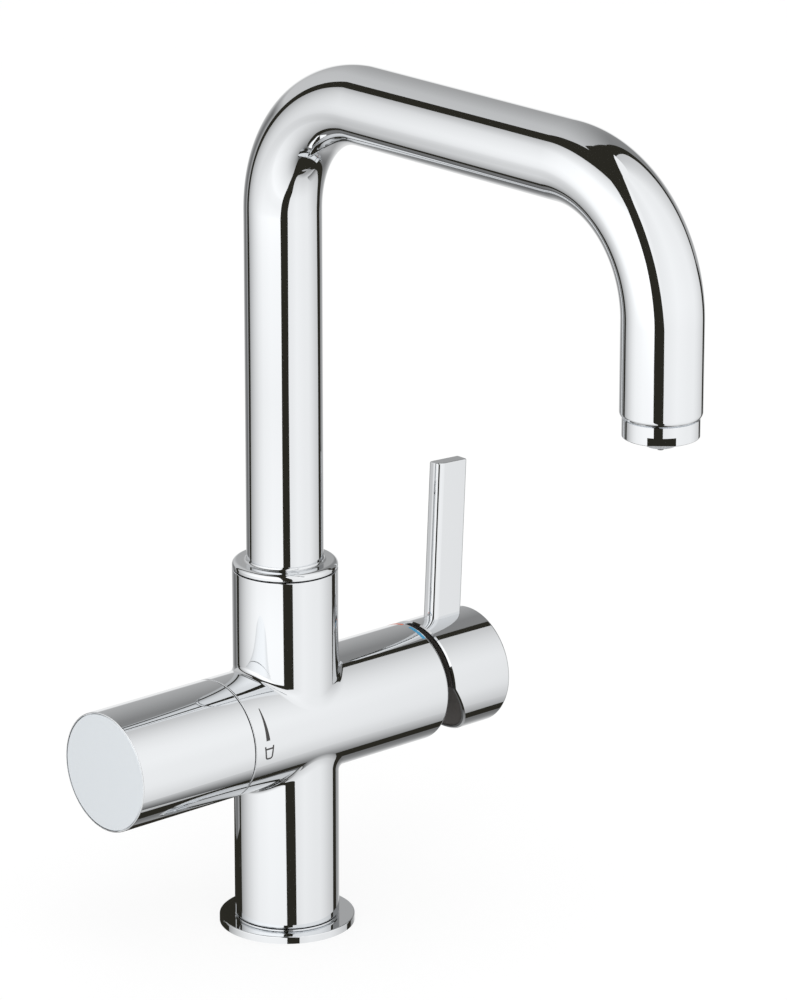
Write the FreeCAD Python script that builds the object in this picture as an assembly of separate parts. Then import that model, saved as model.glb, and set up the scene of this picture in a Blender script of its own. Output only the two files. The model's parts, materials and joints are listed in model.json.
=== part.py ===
import FreeCAD, Part
import math
import os

# Sink mixer with a swivelling tube spout, a side lever on the right and a filtered water knob on the left.
# Millimetres. Z is up, the deck is z = 0, the spout points along -Y, the lever is at +X.

# Clearances
cut_over = 1.0
seat_gap = 0.05
running_gap = 0.10
free_gap = 0.30

# Spout tube
tube_diameter = 32.0
tube_wall = 1.5
tube_end_round = 1.35
bend_radius = 52.0
spout_height = 361.5
spout_reach = 220.0
spout_drop = 37.5

# Column, collar and foot
collar_wall = 5.0
collar_height = 66.75
slide_ring_wall = 0.95
cavity_wall = 4.5
cavity_top = 46.0
ring_gap = 0.25
ring_height = 3.0
ring_edge = 2.0
flange_overhang = 6.5
flange_rim = 3.15
flange_hub = 0.4
flange_edge = 0.6
lip_height = 1.5
spigot_wall = 1.4
seal_width = 2.8
seal_height = 1.8
seal_inset = 2.0

# Barrel
barrel_height = 90.0
barrel_step = 3.2
barrel_left = 37.4
junction_fillet = 4.0
barrel_edge = 0.5

# Deck connections, under the column
inlet_radius = 4.5
inlet_depth = 12.0
inlet_pitch = 10.5
stud_radius = 3.4
stud_depth = 12.0
waterway_radius = 3.0
mixed_radius = 3.5
port_drop = 6.0
port_rise = 8.0
mixed_offset = 10.5
drill_step = 0.2
drill_over = 0.6

# Mixing cartridge, stacked along +X from the chamber floor
chamber_floor = 24.0
chamber_wall = 7.2
thread_step = 2.5
cover_step = 2.5
housing_gap = 0.4
housing_wall = 2.0
base_length = 5.5
fixed_disc_length = 4.0
disc_gap = 0.02
moving_disc_length = 3.48
carrier_length = 5.5
rotor_gap = 0.5
rotor_length = 13.2
end_wall_length = 3.5
nut_length = 6.3
nut_slot = 4.0
cover_gap = 0.2
cover_length = 2.9
port_seal_wall = 1.3
port_seal_length = 1.4
tilt_range = 25.0
spindle_square = 7.6
spindle_arm = 10.5
pivot_inset = 8.0
pin_radius = 2.0
ball_radius = 2.5
stem_radius = 1.6
bar_inset = 5.0
mixing_share = 0.56
disc_margin = 0.9
carrier_step = 0.5
spindle_reach = 45.5

# Lever cap and lever
cap_gap = 2.9
cap_length = 31.6
cap_wall = 2.4
cap_end_wall = 2.5
cap_edge = 1.0
cut_angle = 30.0
cut_above_axis = 2.0
plate_inset = 0.4
plate_length = 2.0
plate_rim = 1.4
hub_radius = 8.5
hub_length = 15.5
grub_radius = 2.5
grub_inset = 3.5
lever_width = 16.9
lever_thickness = 5.4
lever_round = 2.0
lever_top_round = 0.6
lever_lean = 2.8
lever_from_cap_edge = 15.2
lever_length = 68.7
stud_diameter = 5.0
stud_in_lever = 12.0
stud_in_cap = 9.0
boss_wall = 2.6

# Filtered water valve, stacked along -X from its chamber floor
valve_floor = 8.0
valve_chamber_radius = 11.0
seat_seal_length = 2.3
valve_disc_length = 3.0
valve_disc_radius = 8.1
spindle_head_length = 1.7
valve_shaft_radius = 5.0
spline_radius = 3.8
spline_length = 9.5
hex_across_flats = 24.0
hex_length = 6.0
hex_inset = 1.4
hex_pocket_gap = 2.0
neck_radius = 7.5
neck_length = 12.0
window_radius = 2.0
relief_depth = 1.4
spindle_ring_radius = 0.65
spindle_ring_inset = 6.0
headpart_inset = 1.3
circlip_length = 1.0
circlip_wall = 2.5
circlip_depth = 1.0
stop_ring_wall = 3.0
stop_ring_length = 4.0
stop_lug_length = 3.0
stop_lug_angle = 20.0
lug_gap = 0.7
stop_lug_angles = (-32.0, 122.0)

# Filtered water knob
knob_gap = 0.5
knob_length = 59.1
knob_wall = 2.2
knob_edge = 0.4
web_length = 4.0
adaptor_wall = 5.15
adaptor_flange = 2.9
adaptor_flange_step = 2.0
adaptor_length = 10.0
tang_angle = 30.0
hub_wall = 3.0
hub_end = 2.5
knob_screw_radius = 1.9
knob_screw_head = 3.8
end_disc_length = 2.1
end_disc_rim = 0.8
end_disc_gap = 0.25
end_disc_skirt = 1.0
end_disc_skirt_length = 4.0

# Spout swivel
socket_web = 0.8
shank_foot_gap = 1.0
slide_ring_length = 5.0
slide_ring_groove = 0.75
slide_ring_rise = 2.0
tube_depth = 3.75
shank_spigot = 15.0
shank_bore = 10.0
o_ring_radius = 1.5
o_ring_heights = (12.0, 18.0)
stop_drop = 5.0
stop_screw_radius = 2.0
stop_screw_inset = 1.0
stop_tip_radius = 1.5
stop_slot_depth = 3.0
stop_slot_angle = 85.0
pipe_radius = 4.0
pipe_wall = 1.3
nipple_flange = 1.5
nipple_height = 10.0
nipple_root = 8.0
nipple_bore = 1.6

# Outlet
bush_wall = 1.45
bush_length = 18.0
bush_shoulder = 4.0
bush_shoulder_step = 1.5
aerator_height = 7.3
aerator_step = 1.3
aerator_lip = 1.8
aerator_lip_step = 1.2
aerator_wall = 1.45
aerator_edge = 0.8
spanner_flat_width = 10.9
spanner_flat_height = 3.4
spanner_flat_turn = -133.0
insert_length = 14.0
insert_gap = 0.2
screen_length = 0.8
seal_ring_length = 1.9
seal_ring_lip = 1.0
nozzle_rise = 2.0
nozzle_radius = 5.0
nozzle_tip_radius = 1.4
nozzle_cone = 1.4
nozzle_lip = 0.45
nozzle_lip_radius = 1.2
nozzle_bore = 0.7
nozzle_drop = 4.6
nozzle_socket = 11.0
jet_radius = 0.7
inner_jet_count = 14
outer_jet_count = 18

# Sizes that follow from the ones above
tube_radius = tube_diameter / 2
tube_bore = tube_radius - tube_wall
bend_start = spout_height - bend_radius
outlet_height = bend_start - spout_drop
socket_radius = tube_radius + slide_ring_wall + seat_gap
column_radius = socket_radius + collar_wall
barrel_radius = column_radius + barrel_step
socket_floor = barrel_height + barrel_radius + socket_web
collar_top = barrel_height + collar_height
cavity_radius = column_radius - cavity_wall
flange_radius = column_radius + flange_overhang
flange_top = flange_rim + flange_hub
seal_outer = flange_radius - seal_inset
chamber_radius = barrel_radius - chamber_wall
nut_radius = chamber_radius + thread_step
cover_radius = nut_radius + cover_step
housing_radius = chamber_radius - housing_gap
housing_bore = housing_radius - housing_wall
base_end = chamber_floor + base_length
fixed_disc_end = base_end + fixed_disc_length
moving_disc_start = fixed_disc_end + disc_gap
moving_disc_end = moving_disc_start + moving_disc_length
carrier_end = moving_disc_end + carrier_length
rotor_start = carrier_end + rotor_gap
rotor_end = rotor_start + rotor_length
bore_end = rotor_end + free_gap
housing_end = bore_end + end_wall_length
nut_end = housing_end + nut_length
cover_start = nut_end + cover_gap
barrel_right = cover_start + cover_length + running_gap
pivot_x = rotor_start + pivot_inset
ball_x = pivot_x - spindle_arm
spindle_end = pivot_x + spindle_reach
cap_inner = barrel_right + cap_gap
cap_outer = cap_inner + cap_length
cap_radius = barrel_radius
cap_bore = cap_radius - cap_wall
plate_radius = cap_radius - plate_rim
plate_back = plate_inset + plate_length
lever_x = cap_inner + lever_from_cap_edge
lever_stud_radius = stud_diameter / 2
hub_start = cap_outer - cap_end_wall - hub_length
grub_x = spindle_end - grub_inset
tilt = math.radians(tilt_range)
disc_travel = spindle_arm * math.sin(tilt)
closed_disc_z = barrel_height - disc_travel / 2
moving_disc_radius = housing_bore - disc_travel / 2 - disc_margin
carrier_radius = moving_disc_radius - carrier_step
bar_start = pivot_x - bar_inset
inlet_x = inlet_pitch / 2
inlet_y = inlet_pitch * math.sqrt(3) / 2
filter_x = -inlet_pitch
port_z = barrel_height - port_drop
mixed_z = barrel_height + port_rise

seat_seal_end = valve_floor + seat_seal_length
valve_fixed_end = seat_seal_end + valve_disc_length
valve_moving_start = valve_fixed_end + disc_gap
valve_moving_end = valve_moving_start + valve_disc_length
spindle_head_end = valve_moving_end + spindle_head_length
hex_end = barrel_left - hex_inset
hex_start = hex_end - hex_length
neck_end = hex_end + neck_length
spindle_shaft_end = neck_end + 2 * circlip_length
spline_end = spindle_shaft_end + spline_length
hex_pocket_radius = hex_across_flats / math.sqrt(3) + hex_pocket_gap
stop_ring_end = neck_end - stop_lug_length - free_gap
stop_ring_start = stop_ring_end - stop_ring_length
stop_ring_radius = neck_radius + stop_ring_wall
lug_inner = neck_radius + lug_gap
headpart_start = valve_floor + headpart_inset
spindle_ring_x = spindle_head_end + spindle_ring_inset
spindle_groove_radius = valve_shaft_radius - 2 * spindle_ring_radius - seat_gap
circlip_start = neck_end + 2 * running_gap
circlip_inner = valve_shaft_radius - circlip_depth
knob_inner = barrel_left + knob_gap
knob_outer = knob_inner + knob_length
knob_radius = barrel_radius
knob_bore = knob_radius - knob_wall
adaptor_start = spindle_shaft_end + free_gap
adaptor_end = adaptor_start + adaptor_length
adaptor_radius = spline_radius + seat_gap + adaptor_wall
adaptor_flange_end = adaptor_start + adaptor_flange
adaptor_flange_radius = adaptor_radius + adaptor_flange_step
web_start = adaptor_flange_end + seat_gap
web_end = web_start + web_length
hub_close = adaptor_end + seat_gap
hub_outer = hub_close + hub_end
end_disc_start = knob_outer - end_disc_length
end_recess_radius = knob_radius - end_disc_rim

shank_bottom = socket_floor + shank_foot_gap
shank_top = collar_top - tube_depth
ring_bottom = collar_top + ring_gap
ring_top = ring_bottom + ring_height
stop_z = shank_top - stop_drop
stop_screw_end = column_radius - stop_screw_inset
slide_low = shank_bottom + slide_ring_rise
o_ring_middle = socket_radius - running_gap - o_ring_radius
pipe_bore = pipe_radius - pipe_wall
pipe_bottom = socket_floor + nipple_flange + free_gap

bush_radius = tube_bore - seat_gap
bush_bore = bush_radius - bush_wall
bush_top = outlet_height + bush_length
shoulder_z = bush_top - bush_shoulder
aerator_bottom = outlet_height - aerator_height
aerator_radius = tube_radius - aerator_step
spanner_flat_distance = math.sqrt(aerator_radius ** 2 - (spanner_flat_width / 2) ** 2)
aerator_thread = bush_bore - seat_gap
aerator_bore = aerator_thread - aerator_wall
aerator_top = shoulder_z - seal_ring_length
insert_bottom = aerator_bottom + aerator_lip
insert_top = insert_bottom + insert_length
nozzle_top = bush_top + nozzle_rise
pipe_end = nozzle_top - nozzle_socket
nozzle_tip = aerator_bottom - nozzle_drop
cone_bottom = nozzle_tip + nozzle_lip
cone_top = cone_bottom + nozzle_cone
insert_outer = aerator_bore - insert_gap
insert_inner = nozzle_radius + seat_gap
jet_spacing = (insert_outer - insert_inner) / 3


def swing_room(x):
    # hole radius that clears the square spindle at x when the lever is fully tilted
    half = spindle_square / 2
    drop = (x - pivot_x) * math.tan(tilt) + half / math.cos(tilt)
    return math.hypot(drop, half) + free_gap


def rod_z(radius, low, high, x=0.0, y=0.0):
    return Part.makeCylinder(radius, high - low, FreeCAD.Vector(x, y, low))


def rod_x(radius, left, right, y=0.0, z=barrel_height):
    return Part.makeCylinder(radius, right - left, FreeCAD.Vector(left, y, z), FreeCAD.Vector(1, 0, 0))


def rod_y(radius, front, back, x, z=barrel_height):
    return Part.makeCylinder(radius, back - front, FreeCAD.Vector(x, front, z), FreeCAD.Vector(0, 1, 0))


def ring_z(outer, inner, low, high):
    return rod_z(outer, low, high).cut(rod_z(inner, low - cut_over, high + cut_over))


def ring_x(outer, inner, left, right):
    return rod_x(outer, left, right).cut(rod_x(inner, left - cut_over, right + cut_over))


def block(x0, x1, y0, y1, z0, z1):
    return Part.makeBox(x1 - x0, y1 - y0, z1 - z0, FreeCAD.Vector(x0, y0, z0))


def hexagon_x(across_flats, left, right):
    # hexagonal bar along the barrel axis
    corner = across_flats / math.sqrt(3)
    points = []
    for step in range(7):
        turn = math.radians(60 * step)
        rise = corner * math.sin(turn)
        points.append(FreeCAD.Vector(left, corner * math.cos(turn), barrel_height + rise))
    return Part.Face(Part.makePolygon(points)).extrude(FreeCAD.Vector(right - left, 0, 0))


def sector_x(outer, inner, left, right, middle, spread):
    # slice of a ring about the barrel axis, its middle angle measured from straight down towards +Y
    slice_z = Part.makeCylinder(outer, right - left, FreeCAD.Vector(), FreeCAD.Vector(0, 0, 1), spread)
    slice_z = slice_z.cut(rod_z(inner, -cut_over, right - left + cut_over))
    slice_z.rotate(FreeCAD.Vector(), FreeCAD.Vector(0, 0, 1), middle - spread / 2)
    slice_z.rotate(FreeCAD.Vector(), FreeCAD.Vector(0, 1, 0), 90)
    slice_z.translate(FreeCAD.Vector(left, 0, barrel_height))
    return slice_z


def outer_edges(shape, radius, centre):
    # circular edges of one radius about one centre
    found = []
    for edge in shape.Edges:
        if isinstance(edge.Curve, Part.Circle):
            same_radius = abs(edge.Curve.Radius - radius) < 1e-6
            if same_radius and edge.Curve.Center.distanceToPoint(FreeCAD.Vector(*centre)) < 1e-6:
                found.append(edge)
    return found


def spout_rod(radius, low, outlet):
    # rod along the spout: rise, quarter bend, run, quarter bend, drop
    run_end = bend_radius - spout_reach
    across = FreeCAD.Vector(1, 0, 0)
    rise_disc = Part.Face(Part.Wire(Part.makeCircle(radius, FreeCAD.Vector(0, 0, bend_start))))
    first_bend = rise_disc.revolve(FreeCAD.Vector(0, -bend_radius, bend_start), across, 90)
    run_centre = FreeCAD.Vector(0, run_end, spout_height)
    run_disc = Part.Face(Part.Wire(Part.makeCircle(radius, run_centre, FreeCAD.Vector(0, 1, 0))))
    second_bend = run_disc.revolve(FreeCAD.Vector(0, run_end, bend_start), across, 90)
    rise = rod_z(radius, low, bend_start)
    run = rod_y(radius, run_end, -bend_radius, 0, spout_height)
    drop = rod_z(radius, outlet, bend_start, 0, -spout_reach)
    return rise.multiFuse([first_bend, run, second_bend, drop]).removeSplitter()


def cap_side(offset):
    # everything on the barrel side of the cap's bent inner face, the face moved outwards by offset
    slope = math.tan(math.radians(cut_angle))
    slant = offset / math.cos(math.radians(cut_angle))
    bend_z = barrel_height + cut_above_axis + (slant - offset) / slope
    face_x = cap_inner + offset
    high = barrel_height + 2 * cap_radius
    low = barrel_height - 2 * cap_radius
    far = face_x - cap_length
    points = [
        FreeCAD.Vector(far, 0, high),
        FreeCAD.Vector(face_x, 0, high),
        FreeCAD.Vector(face_x, 0, bend_z),
        FreeCAD.Vector(face_x + (bend_z - low) * slope, 0, low),
        FreeCAD.Vector(far, 0, low),
        FreeCAD.Vector(far, 0, high),
    ]
    side = Part.Face(Part.makePolygon(points)).extrude(FreeCAD.Vector(0, 4 * cap_radius, 0))
    side.translate(FreeCAD.Vector(0, -2 * cap_radius, 0))
    return side


def along_lever(shape):
    # from the lever's own upright frame, zero at the cap's top, to its leaning place
    shape.rotate(FreeCAD.Vector(), FreeCAD.Vector(0, 1, 0), lever_lean)
    shape.translate(FreeCAD.Vector(lever_x, 0, barrel_height + cap_radius))
    return shape


def at_outlet(shape):
    shape.translate(FreeCAD.Vector(0, -spout_reach, 0))
    return shape


def inlet_places():
    return ((inlet_x, inlet_y), (inlet_x, -inlet_y), (filter_x, 0.0))


def make_valve_body():
    column = rod_z(column_radius, flange_top, collar_top)
    barrel = rod_x(barrel_radius, -barrel_left, barrel_right)
    cross = column.fuse(barrel)
    joints = [edge for edge in cross.Edges if not isinstance(edge.Curve, (Part.Line, Part.Circle))]
    cross = cross.makeFillet(junction_fillet, joints)
    ends = outer_edges(cross, barrel_radius, (-barrel_left, 0, barrel_height))
    ends += outer_edges(cross, barrel_radius, (barrel_right, 0, barrel_height))
    cross = cross.makeFillet(barrel_edge, ends)
    cross = cross.fuse(rod_z(cavity_radius + spigot_wall, lip_height + free_gap, flange_top))
    drilled_top = cavity_top + inlet_depth
    mixed_start = mixed_offset - mixed_radius - drill_over
    supply_start = inlet_x - waterway_radius - drill_over
    cuts = [
        rod_z(cavity_radius, 0, cavity_top),
        rod_z(stud_radius, cavity_top - cut_over, cavity_top + stud_depth),
        rod_z(waterway_radius, drilled_top - cut_over, barrel_height - waterway_radius * 3, filter_x),
        rod_x(waterway_radius - drill_step, -valve_floor - cut_over, waterway_radius + drill_over),
        rod_z(waterway_radius, barrel_height, socket_floor + cut_over),
        rod_x(mixed_radius, mixed_start, chamber_floor + cut_over, 0, mixed_z),
        rod_z(mixed_radius - drill_step, mixed_z, socket_floor + cut_over, mixed_offset),
        rod_x(chamber_radius, chamber_floor, barrel_right + cut_over),
        rod_x(nut_radius, housing_end - end_wall_length / 2, barrel_right + cut_over),
        rod_x(cover_radius, cover_start - cover_gap / 2, barrel_right + cut_over),
        rod_z(socket_radius, socket_floor, collar_top + cut_over),
        rod_x(valve_chamber_radius, -barrel_left - cut_over, -valve_floor),
        rod_x(hex_pocket_radius, -barrel_left - cut_over, -hex_start),
        rod_y(stop_screw_radius, 0, column_radius + cut_over, 0, stop_z),
    ]
    for x, y in inlet_places():
        cuts.append(rod_z(inlet_radius, cavity_top - cut_over, drilled_top, x, y))
    for y in (inlet_y, -inlet_y):
        cuts.append(rod_z(waterway_radius - drill_step, drilled_top - cut_over, port_z, inlet_x, y))
        cuts.append(rod_x(waterway_radius, supply_start, chamber_floor + cut_over, y, port_z))
    return cross.cut(cuts)


def make_base_flange():
    plate = rod_z(flange_radius, 0, flange_rim)
    plate = plate.makeFillet(flange_edge, outer_edges(plate, flange_radius, (0, 0, flange_rim)))
    plate = plate.fuse(rod_z(column_radius, flange_rim / 2, flange_top))
    plate = plate.cut(rod_z(cavity_radius, -cut_over, flange_top + cut_over))
    plate = plate.cut(rod_z(cavity_radius + spigot_wall + seat_gap, lip_height, flange_top + cut_over))
    return plate.cut(ring_z(seal_outer, seal_outer - seal_width, -cut_over, seal_height))


def make_base_seal():
    return ring_z(seal_outer - seat_gap, seal_outer - seal_width + seat_gap, 0, seal_height)


def cartridge_ports(radius, mixed, left, right):
    # hot, cold and mixed water holes of the cartridge
    holes = [rod_x(radius, left, right, y, port_z) for y in (inlet_y, -inlet_y)]
    return holes + [rod_x(mixed, left, right, 0, mixed_z)]


def make_cartridge_base():
    plate = rod_x(housing_radius, chamber_floor, base_end)
    through = cartridge_ports(waterway_radius, mixed_radius, chamber_floor - cut_over, base_end + cut_over)
    seal_room = port_seal_wall + 2 * seat_gap
    pockets = cartridge_ports(
        waterway_radius + seal_room,
        mixed_radius + seal_room,
        chamber_floor - cut_over,
        chamber_floor + port_seal_length,
    )
    return plate.cut(through + pockets)


def make_cartridge_seals():
    seal_end = chamber_floor + port_seal_length
    outer = seat_gap + port_seal_wall
    bodies = cartridge_ports(waterway_radius + outer, mixed_radius + outer, chamber_floor, seal_end)
    holes = cartridge_ports(
        waterway_radius + seat_gap,
        mixed_radius + seat_gap,
        chamber_floor - cut_over,
        seal_end + cut_over,
    )
    return Part.makeCompound([body.cut(hole) for body, hole in zip(bodies, holes)])


def make_cartridge_fixed_disc():
    disc = rod_x(housing_bore - 2 * running_gap, base_end, fixed_disc_end)
    left = base_end - cut_over
    return disc.cut(cartridge_ports(waterway_radius, mixed_radius, left, fixed_disc_end + cut_over))


def make_cartridge_housing():
    cup = rod_x(housing_radius, base_end, housing_end)
    cup = cup.cut(rod_x(housing_bore, base_end - cut_over, bore_end))
    return cup.cut(rod_x(swing_room(housing_end), bore_end - cut_over, housing_end + cut_over))


def make_retaining_nut():
    nut = ring_x(nut_radius - seat_gap, swing_room(nut_end), housing_end, nut_end)
    half = nut_slot / 2
    reach = nut_radius + cut_over
    left = nut_end - nut_slot / 2
    right = nut_end + cut_over
    upright = block(left, right, -half, half, barrel_height - reach, barrel_height + reach)
    level = block(left, right, -reach, reach, barrel_height - half, barrel_height + half)
    return nut.cut([upright, level])


def make_cover_ring():
    cover_end = cover_start + cover_length
    hole = swing_room(cover_end)
    ring = ring_x(cover_radius - seat_gap, hole, cover_start, cover_end)
    rim = outer_edges(ring, hole, (cover_end, 0, barrel_height))
    return ring.makeFillet(barrel_edge, rim)


def make_cartridge_rotor():
    rotor = rod_x(housing_bore - running_gap, rotor_start, rotor_end)
    half_y = spindle_square / 2 + free_gap
    half_z = swing_room(pivot_x + pivot_inset)
    slot = block(
        rotor_start - cut_over,
        rotor_end + cut_over,
        -half_y,
        half_y,
        barrel_height - half_z,
        barrel_height + half_z,
    )
    return rotor.cut([slot, rod_y(pin_radius + seat_gap, -housing_bore, housing_bore, pivot_x)])


def make_tilt_pin():
    half = math.sqrt((housing_bore - running_gap) ** 2 - pin_radius ** 2) - free_gap
    return rod_y(pin_radius, -half, half, pivot_x)


def make_lever_spindle():
    half = spindle_square / 2
    bar = block(bar_start, spindle_end, -half, half, barrel_height - half, barrel_height + half)
    stem = rod_x(stem_radius, ball_x, bar_start + cut_over)
    ball = Part.makeSphere(ball_radius, FreeCAD.Vector(ball_x, 0, barrel_height))
    spindle = bar.multiFuse([stem, ball])
    return spindle.cut(rod_y(pin_radius + seat_gap, -half - cut_over, half + cut_over, pivot_x))


def make_disc_carrier():
    carrier = rod_x(carrier_radius, moving_disc_end, carrier_end, 0, closed_disc_z)
    half = ball_radius + 2 * running_gap
    pocket = block(
        ball_x - half,
        carrier_end + cut_over,
        -half,
        half,
        barrel_height - half,
        barrel_height + half,
    )
    return carrier.cut(pocket)


def make_cartridge_moving_disc():
    disc = rod_x(moving_disc_radius, moving_disc_start, moving_disc_end, 0, closed_disc_z)
    hollow = rod_x(
        moving_disc_radius * mixing_share,
        moving_disc_start - cut_over,
        moving_disc_start + moving_disc_length / 2,
        0,
        closed_disc_z,
    )
    return disc.cut(hollow)


def make_lever_cap():
    shell = rod_x(cap_radius, cap_inner, cap_outer)
    shell = shell.makeFillet(cap_edge, outer_edges(shell, cap_radius, (cap_outer, 0, barrel_height)))
    hollow = rod_x(cap_bore, cap_inner - cut_over, cap_outer - cap_end_wall)
    shell = shell.cut([cap_side(0), hollow])
    shell = shell.cut(rod_x(plate_radius, cap_inner - cut_over, cap_outer).common(cap_side(plate_back)))
    hub = rod_x(hub_radius, hub_start, cap_outer - cap_end_wall / 2)
    boss = along_lever(rod_z(lever_stud_radius + boss_wall, -stud_in_cap, 0))
    boss = boss.common(rod_x(cap_radius - cap_wall / 2, cap_inner, cap_outer))
    shell = shell.multiFuse([hub, boss])
    half = spindle_square / 2 + seat_gap
    socket = block(
        hub_start - cut_over,
        spindle_end + seat_gap,
        -half,
        half,
        barrel_height - half,
        barrel_height + half,
    )
    stud_hole = along_lever(rod_z(lever_stud_radius + seat_gap, -stud_in_cap - cut_over, cut_over))
    grub_hole = rod_y(grub_radius + seat_gap, 0, cap_radius + cut_over, grub_x)
    return shell.cut([socket, stud_hole, grub_hole])


def make_lever_plate():
    plate = rod_x(plate_radius - running_gap, cap_inner - cut_over, cap_outer).common(cap_side(plate_back))
    half = spindle_square / 2 + seat_gap
    hole = block(cap_inner, cap_outer, -half, half, barrel_height - half, barrel_height + half)
    return plate.cut([cap_side(plate_inset), hole])


def make_lever_bar():
    low = -cap_wall
    high = lever_length / math.cos(math.radians(lever_lean))
    half_x = lever_width / 2
    half_y = lever_thickness / 2
    bar = block(-half_x, half_x, -half_y, half_y, low, high)
    upright = [edge for edge in bar.Edges if abs(edge.Length - (high - low)) < 1e-6]
    bar = bar.makeFillet(lever_round, upright)
    rim = [edge for edge in bar.Edges if abs(edge.BoundBox.ZMin - high) < 1e-6]
    bar = bar.makeFillet(lever_top_round, rim)
    bar = bar.cut(rod_z(lever_stud_radius + seat_gap, low - cut_over, stud_in_lever))
    return along_lever(bar).cut(rod_x(cap_radius, cap_inner - cap_length, cap_outer + cap_length))


def make_lever_stud():
    return along_lever(rod_z(lever_stud_radius, -stud_in_cap, stud_in_lever))


def make_grub_screw():
    start = spindle_square / 2 + seat_gap
    screw = rod_y(grub_radius, start, hub_radius, grub_x)
    return screw.cut(rod_y(grub_radius / 2, (start + hub_radius) / 2, hub_radius + cut_over, grub_x))


def make_access_plug():
    plug = rod_y(grub_radius, cap_bore, cap_radius + cut_over, grub_x)
    return plug.common(rod_x(cap_radius, cap_inner, cap_outer))


def make_headpart_body():
    relief = rod_x(valve_chamber_radius - relief_depth, -spindle_head_end - free_gap, -headpart_start)
    thread = rod_x(valve_chamber_radius - seat_gap, -hex_start, -spindle_head_end - free_gap)
    hexagon = hexagon_x(hex_across_flats, -hex_end, -hex_start)
    neck = rod_x(neck_radius, -neck_end, -hex_end)
    headpart = relief.multiFuse([thread, hexagon, neck])
    window_x = -(valve_moving_start + valve_moving_end) / 2
    reach = valve_chamber_radius
    room_end = -spindle_head_end - free_gap / 2
    cuts = [
        rod_x(valve_disc_radius + running_gap, room_end, -headpart_start + cut_over),
        rod_x(valve_shaft_radius + seat_gap, -neck_end - cut_over, -headpart_start),
        rod_z(window_radius, barrel_height - reach, barrel_height + reach, window_x),
        rod_y(window_radius, -reach, reach, window_x),
    ]
    return headpart.cut(cuts)


def make_headpart_seal():
    return ring_x(valve_disc_radius - running_gap, valve_shaft_radius, -seat_seal_end, -valve_floor)


def make_headpart_fixed_disc():
    disc = rod_x(valve_disc_radius, -valve_fixed_end, -seat_seal_end)
    half = valve_shaft_radius / 2
    offset = barrel_height - half
    return disc.cut(rod_x(half, -valve_fixed_end - cut_over, -seat_seal_end + cut_over, 0, offset))


def make_headpart_moving_disc():
    disc = rod_x(valve_disc_radius - running_gap, -valve_moving_end, -valve_moving_start)
    half = valve_shaft_radius / 2
    offset = barrel_height + half
    return disc.cut(rod_x(half, -valve_moving_end - cut_over, -valve_moving_start + cut_over, 0, offset))


def make_valve_spindle():
    head = rod_x(valve_disc_radius - running_gap, -spindle_head_end, -valve_moving_end)
    shaft = rod_x(valve_shaft_radius, -spindle_shaft_end, -spindle_head_end)
    spline = rod_x(spline_radius, -spline_end, -spindle_shaft_end)
    spindle = head.multiFuse([shaft, spline])
    cuts = [
        ring_x(
            valve_shaft_radius + cut_over,
            spindle_groove_radius,
            -spindle_ring_x - spindle_ring_radius - seat_gap,
            -spindle_ring_x + spindle_ring_radius + seat_gap,
        ),
        ring_x(
            valve_shaft_radius + cut_over,
            circlip_inner - seat_gap,
            -circlip_start - circlip_length - seat_gap,
            -circlip_start + seat_gap,
        ),
        rod_x(knob_screw_radius + seat_gap, -spline_end - cut_over, -spindle_shaft_end),
    ]
    return spindle.cut(cuts)


def make_spindle_o_ring():
    centre = FreeCAD.Vector(-spindle_ring_x, 0, barrel_height)
    middle = valve_shaft_radius - spindle_ring_radius
    return Part.makeTorus(middle, spindle_ring_radius, centre, FreeCAD.Vector(1, 0, 0))


def make_spindle_circlip():
    outer = circlip_inner + circlip_wall
    left = -circlip_start - circlip_length
    ring = ring_x(outer, circlip_inner, left, -circlip_start)
    mouth = circlip_inner / 2
    return ring.cut(block(left, -circlip_start, -mouth, mouth, barrel_height, barrel_height + 2 * outer))


def make_stop_ring():
    ring = ring_x(stop_ring_radius, neck_radius + seat_gap, -stop_ring_end, -stop_ring_start)
    lugs = []
    for angle in stop_lug_angles:
        left = -stop_ring_end - stop_lug_length
        lugs.append(sector_x(stop_ring_radius, lug_inner, left, -stop_ring_start, angle, stop_lug_angle))
    return ring.multiFuse(lugs).removeSplitter()


def make_knob_adaptor():
    sleeve = rod_x(adaptor_radius, -adaptor_end, -adaptor_start)
    flange = rod_x(adaptor_flange_radius, -adaptor_flange_end, -adaptor_start)
    tang_end = -stop_ring_end - free_gap
    tang = sector_x(stop_ring_radius, lug_inner, -adaptor_flange_end, tang_end, 0, tang_angle)
    adaptor = sleeve.multiFuse([flange, tang])
    return adaptor.cut(rod_x(spline_radius + seat_gap, -adaptor_end - cut_over, -adaptor_start + cut_over))


def make_knob_shell():
    shell = rod_x(knob_radius, -knob_outer, -knob_inner)
    rims = outer_edges(shell, knob_radius, (-knob_outer, 0, barrel_height))
    rims += outer_edges(shell, knob_radius, (-knob_inner, 0, barrel_height))
    shell = shell.makeFillet(knob_edge, rims)
    hollows = [
        rod_x(knob_bore, -web_start, -knob_inner + cut_over),
        rod_x(knob_bore, -knob_outer - cut_over, -web_end),
        rod_x(end_recess_radius, -knob_outer - cut_over, -end_disc_start),
    ]
    shell = shell.cut(hollows)
    sleeve_room = adaptor_radius + seat_gap
    shell = shell.fuse(rod_x(sleeve_room + hub_wall, -hub_outer, -web_end))
    bore = rod_x(sleeve_room, -hub_close, -web_start + cut_over)
    screw_hole = rod_x(knob_screw_radius + free_gap, -hub_outer - cut_over, -hub_close + cut_over)
    return shell.cut([bore, screw_hole])


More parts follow.
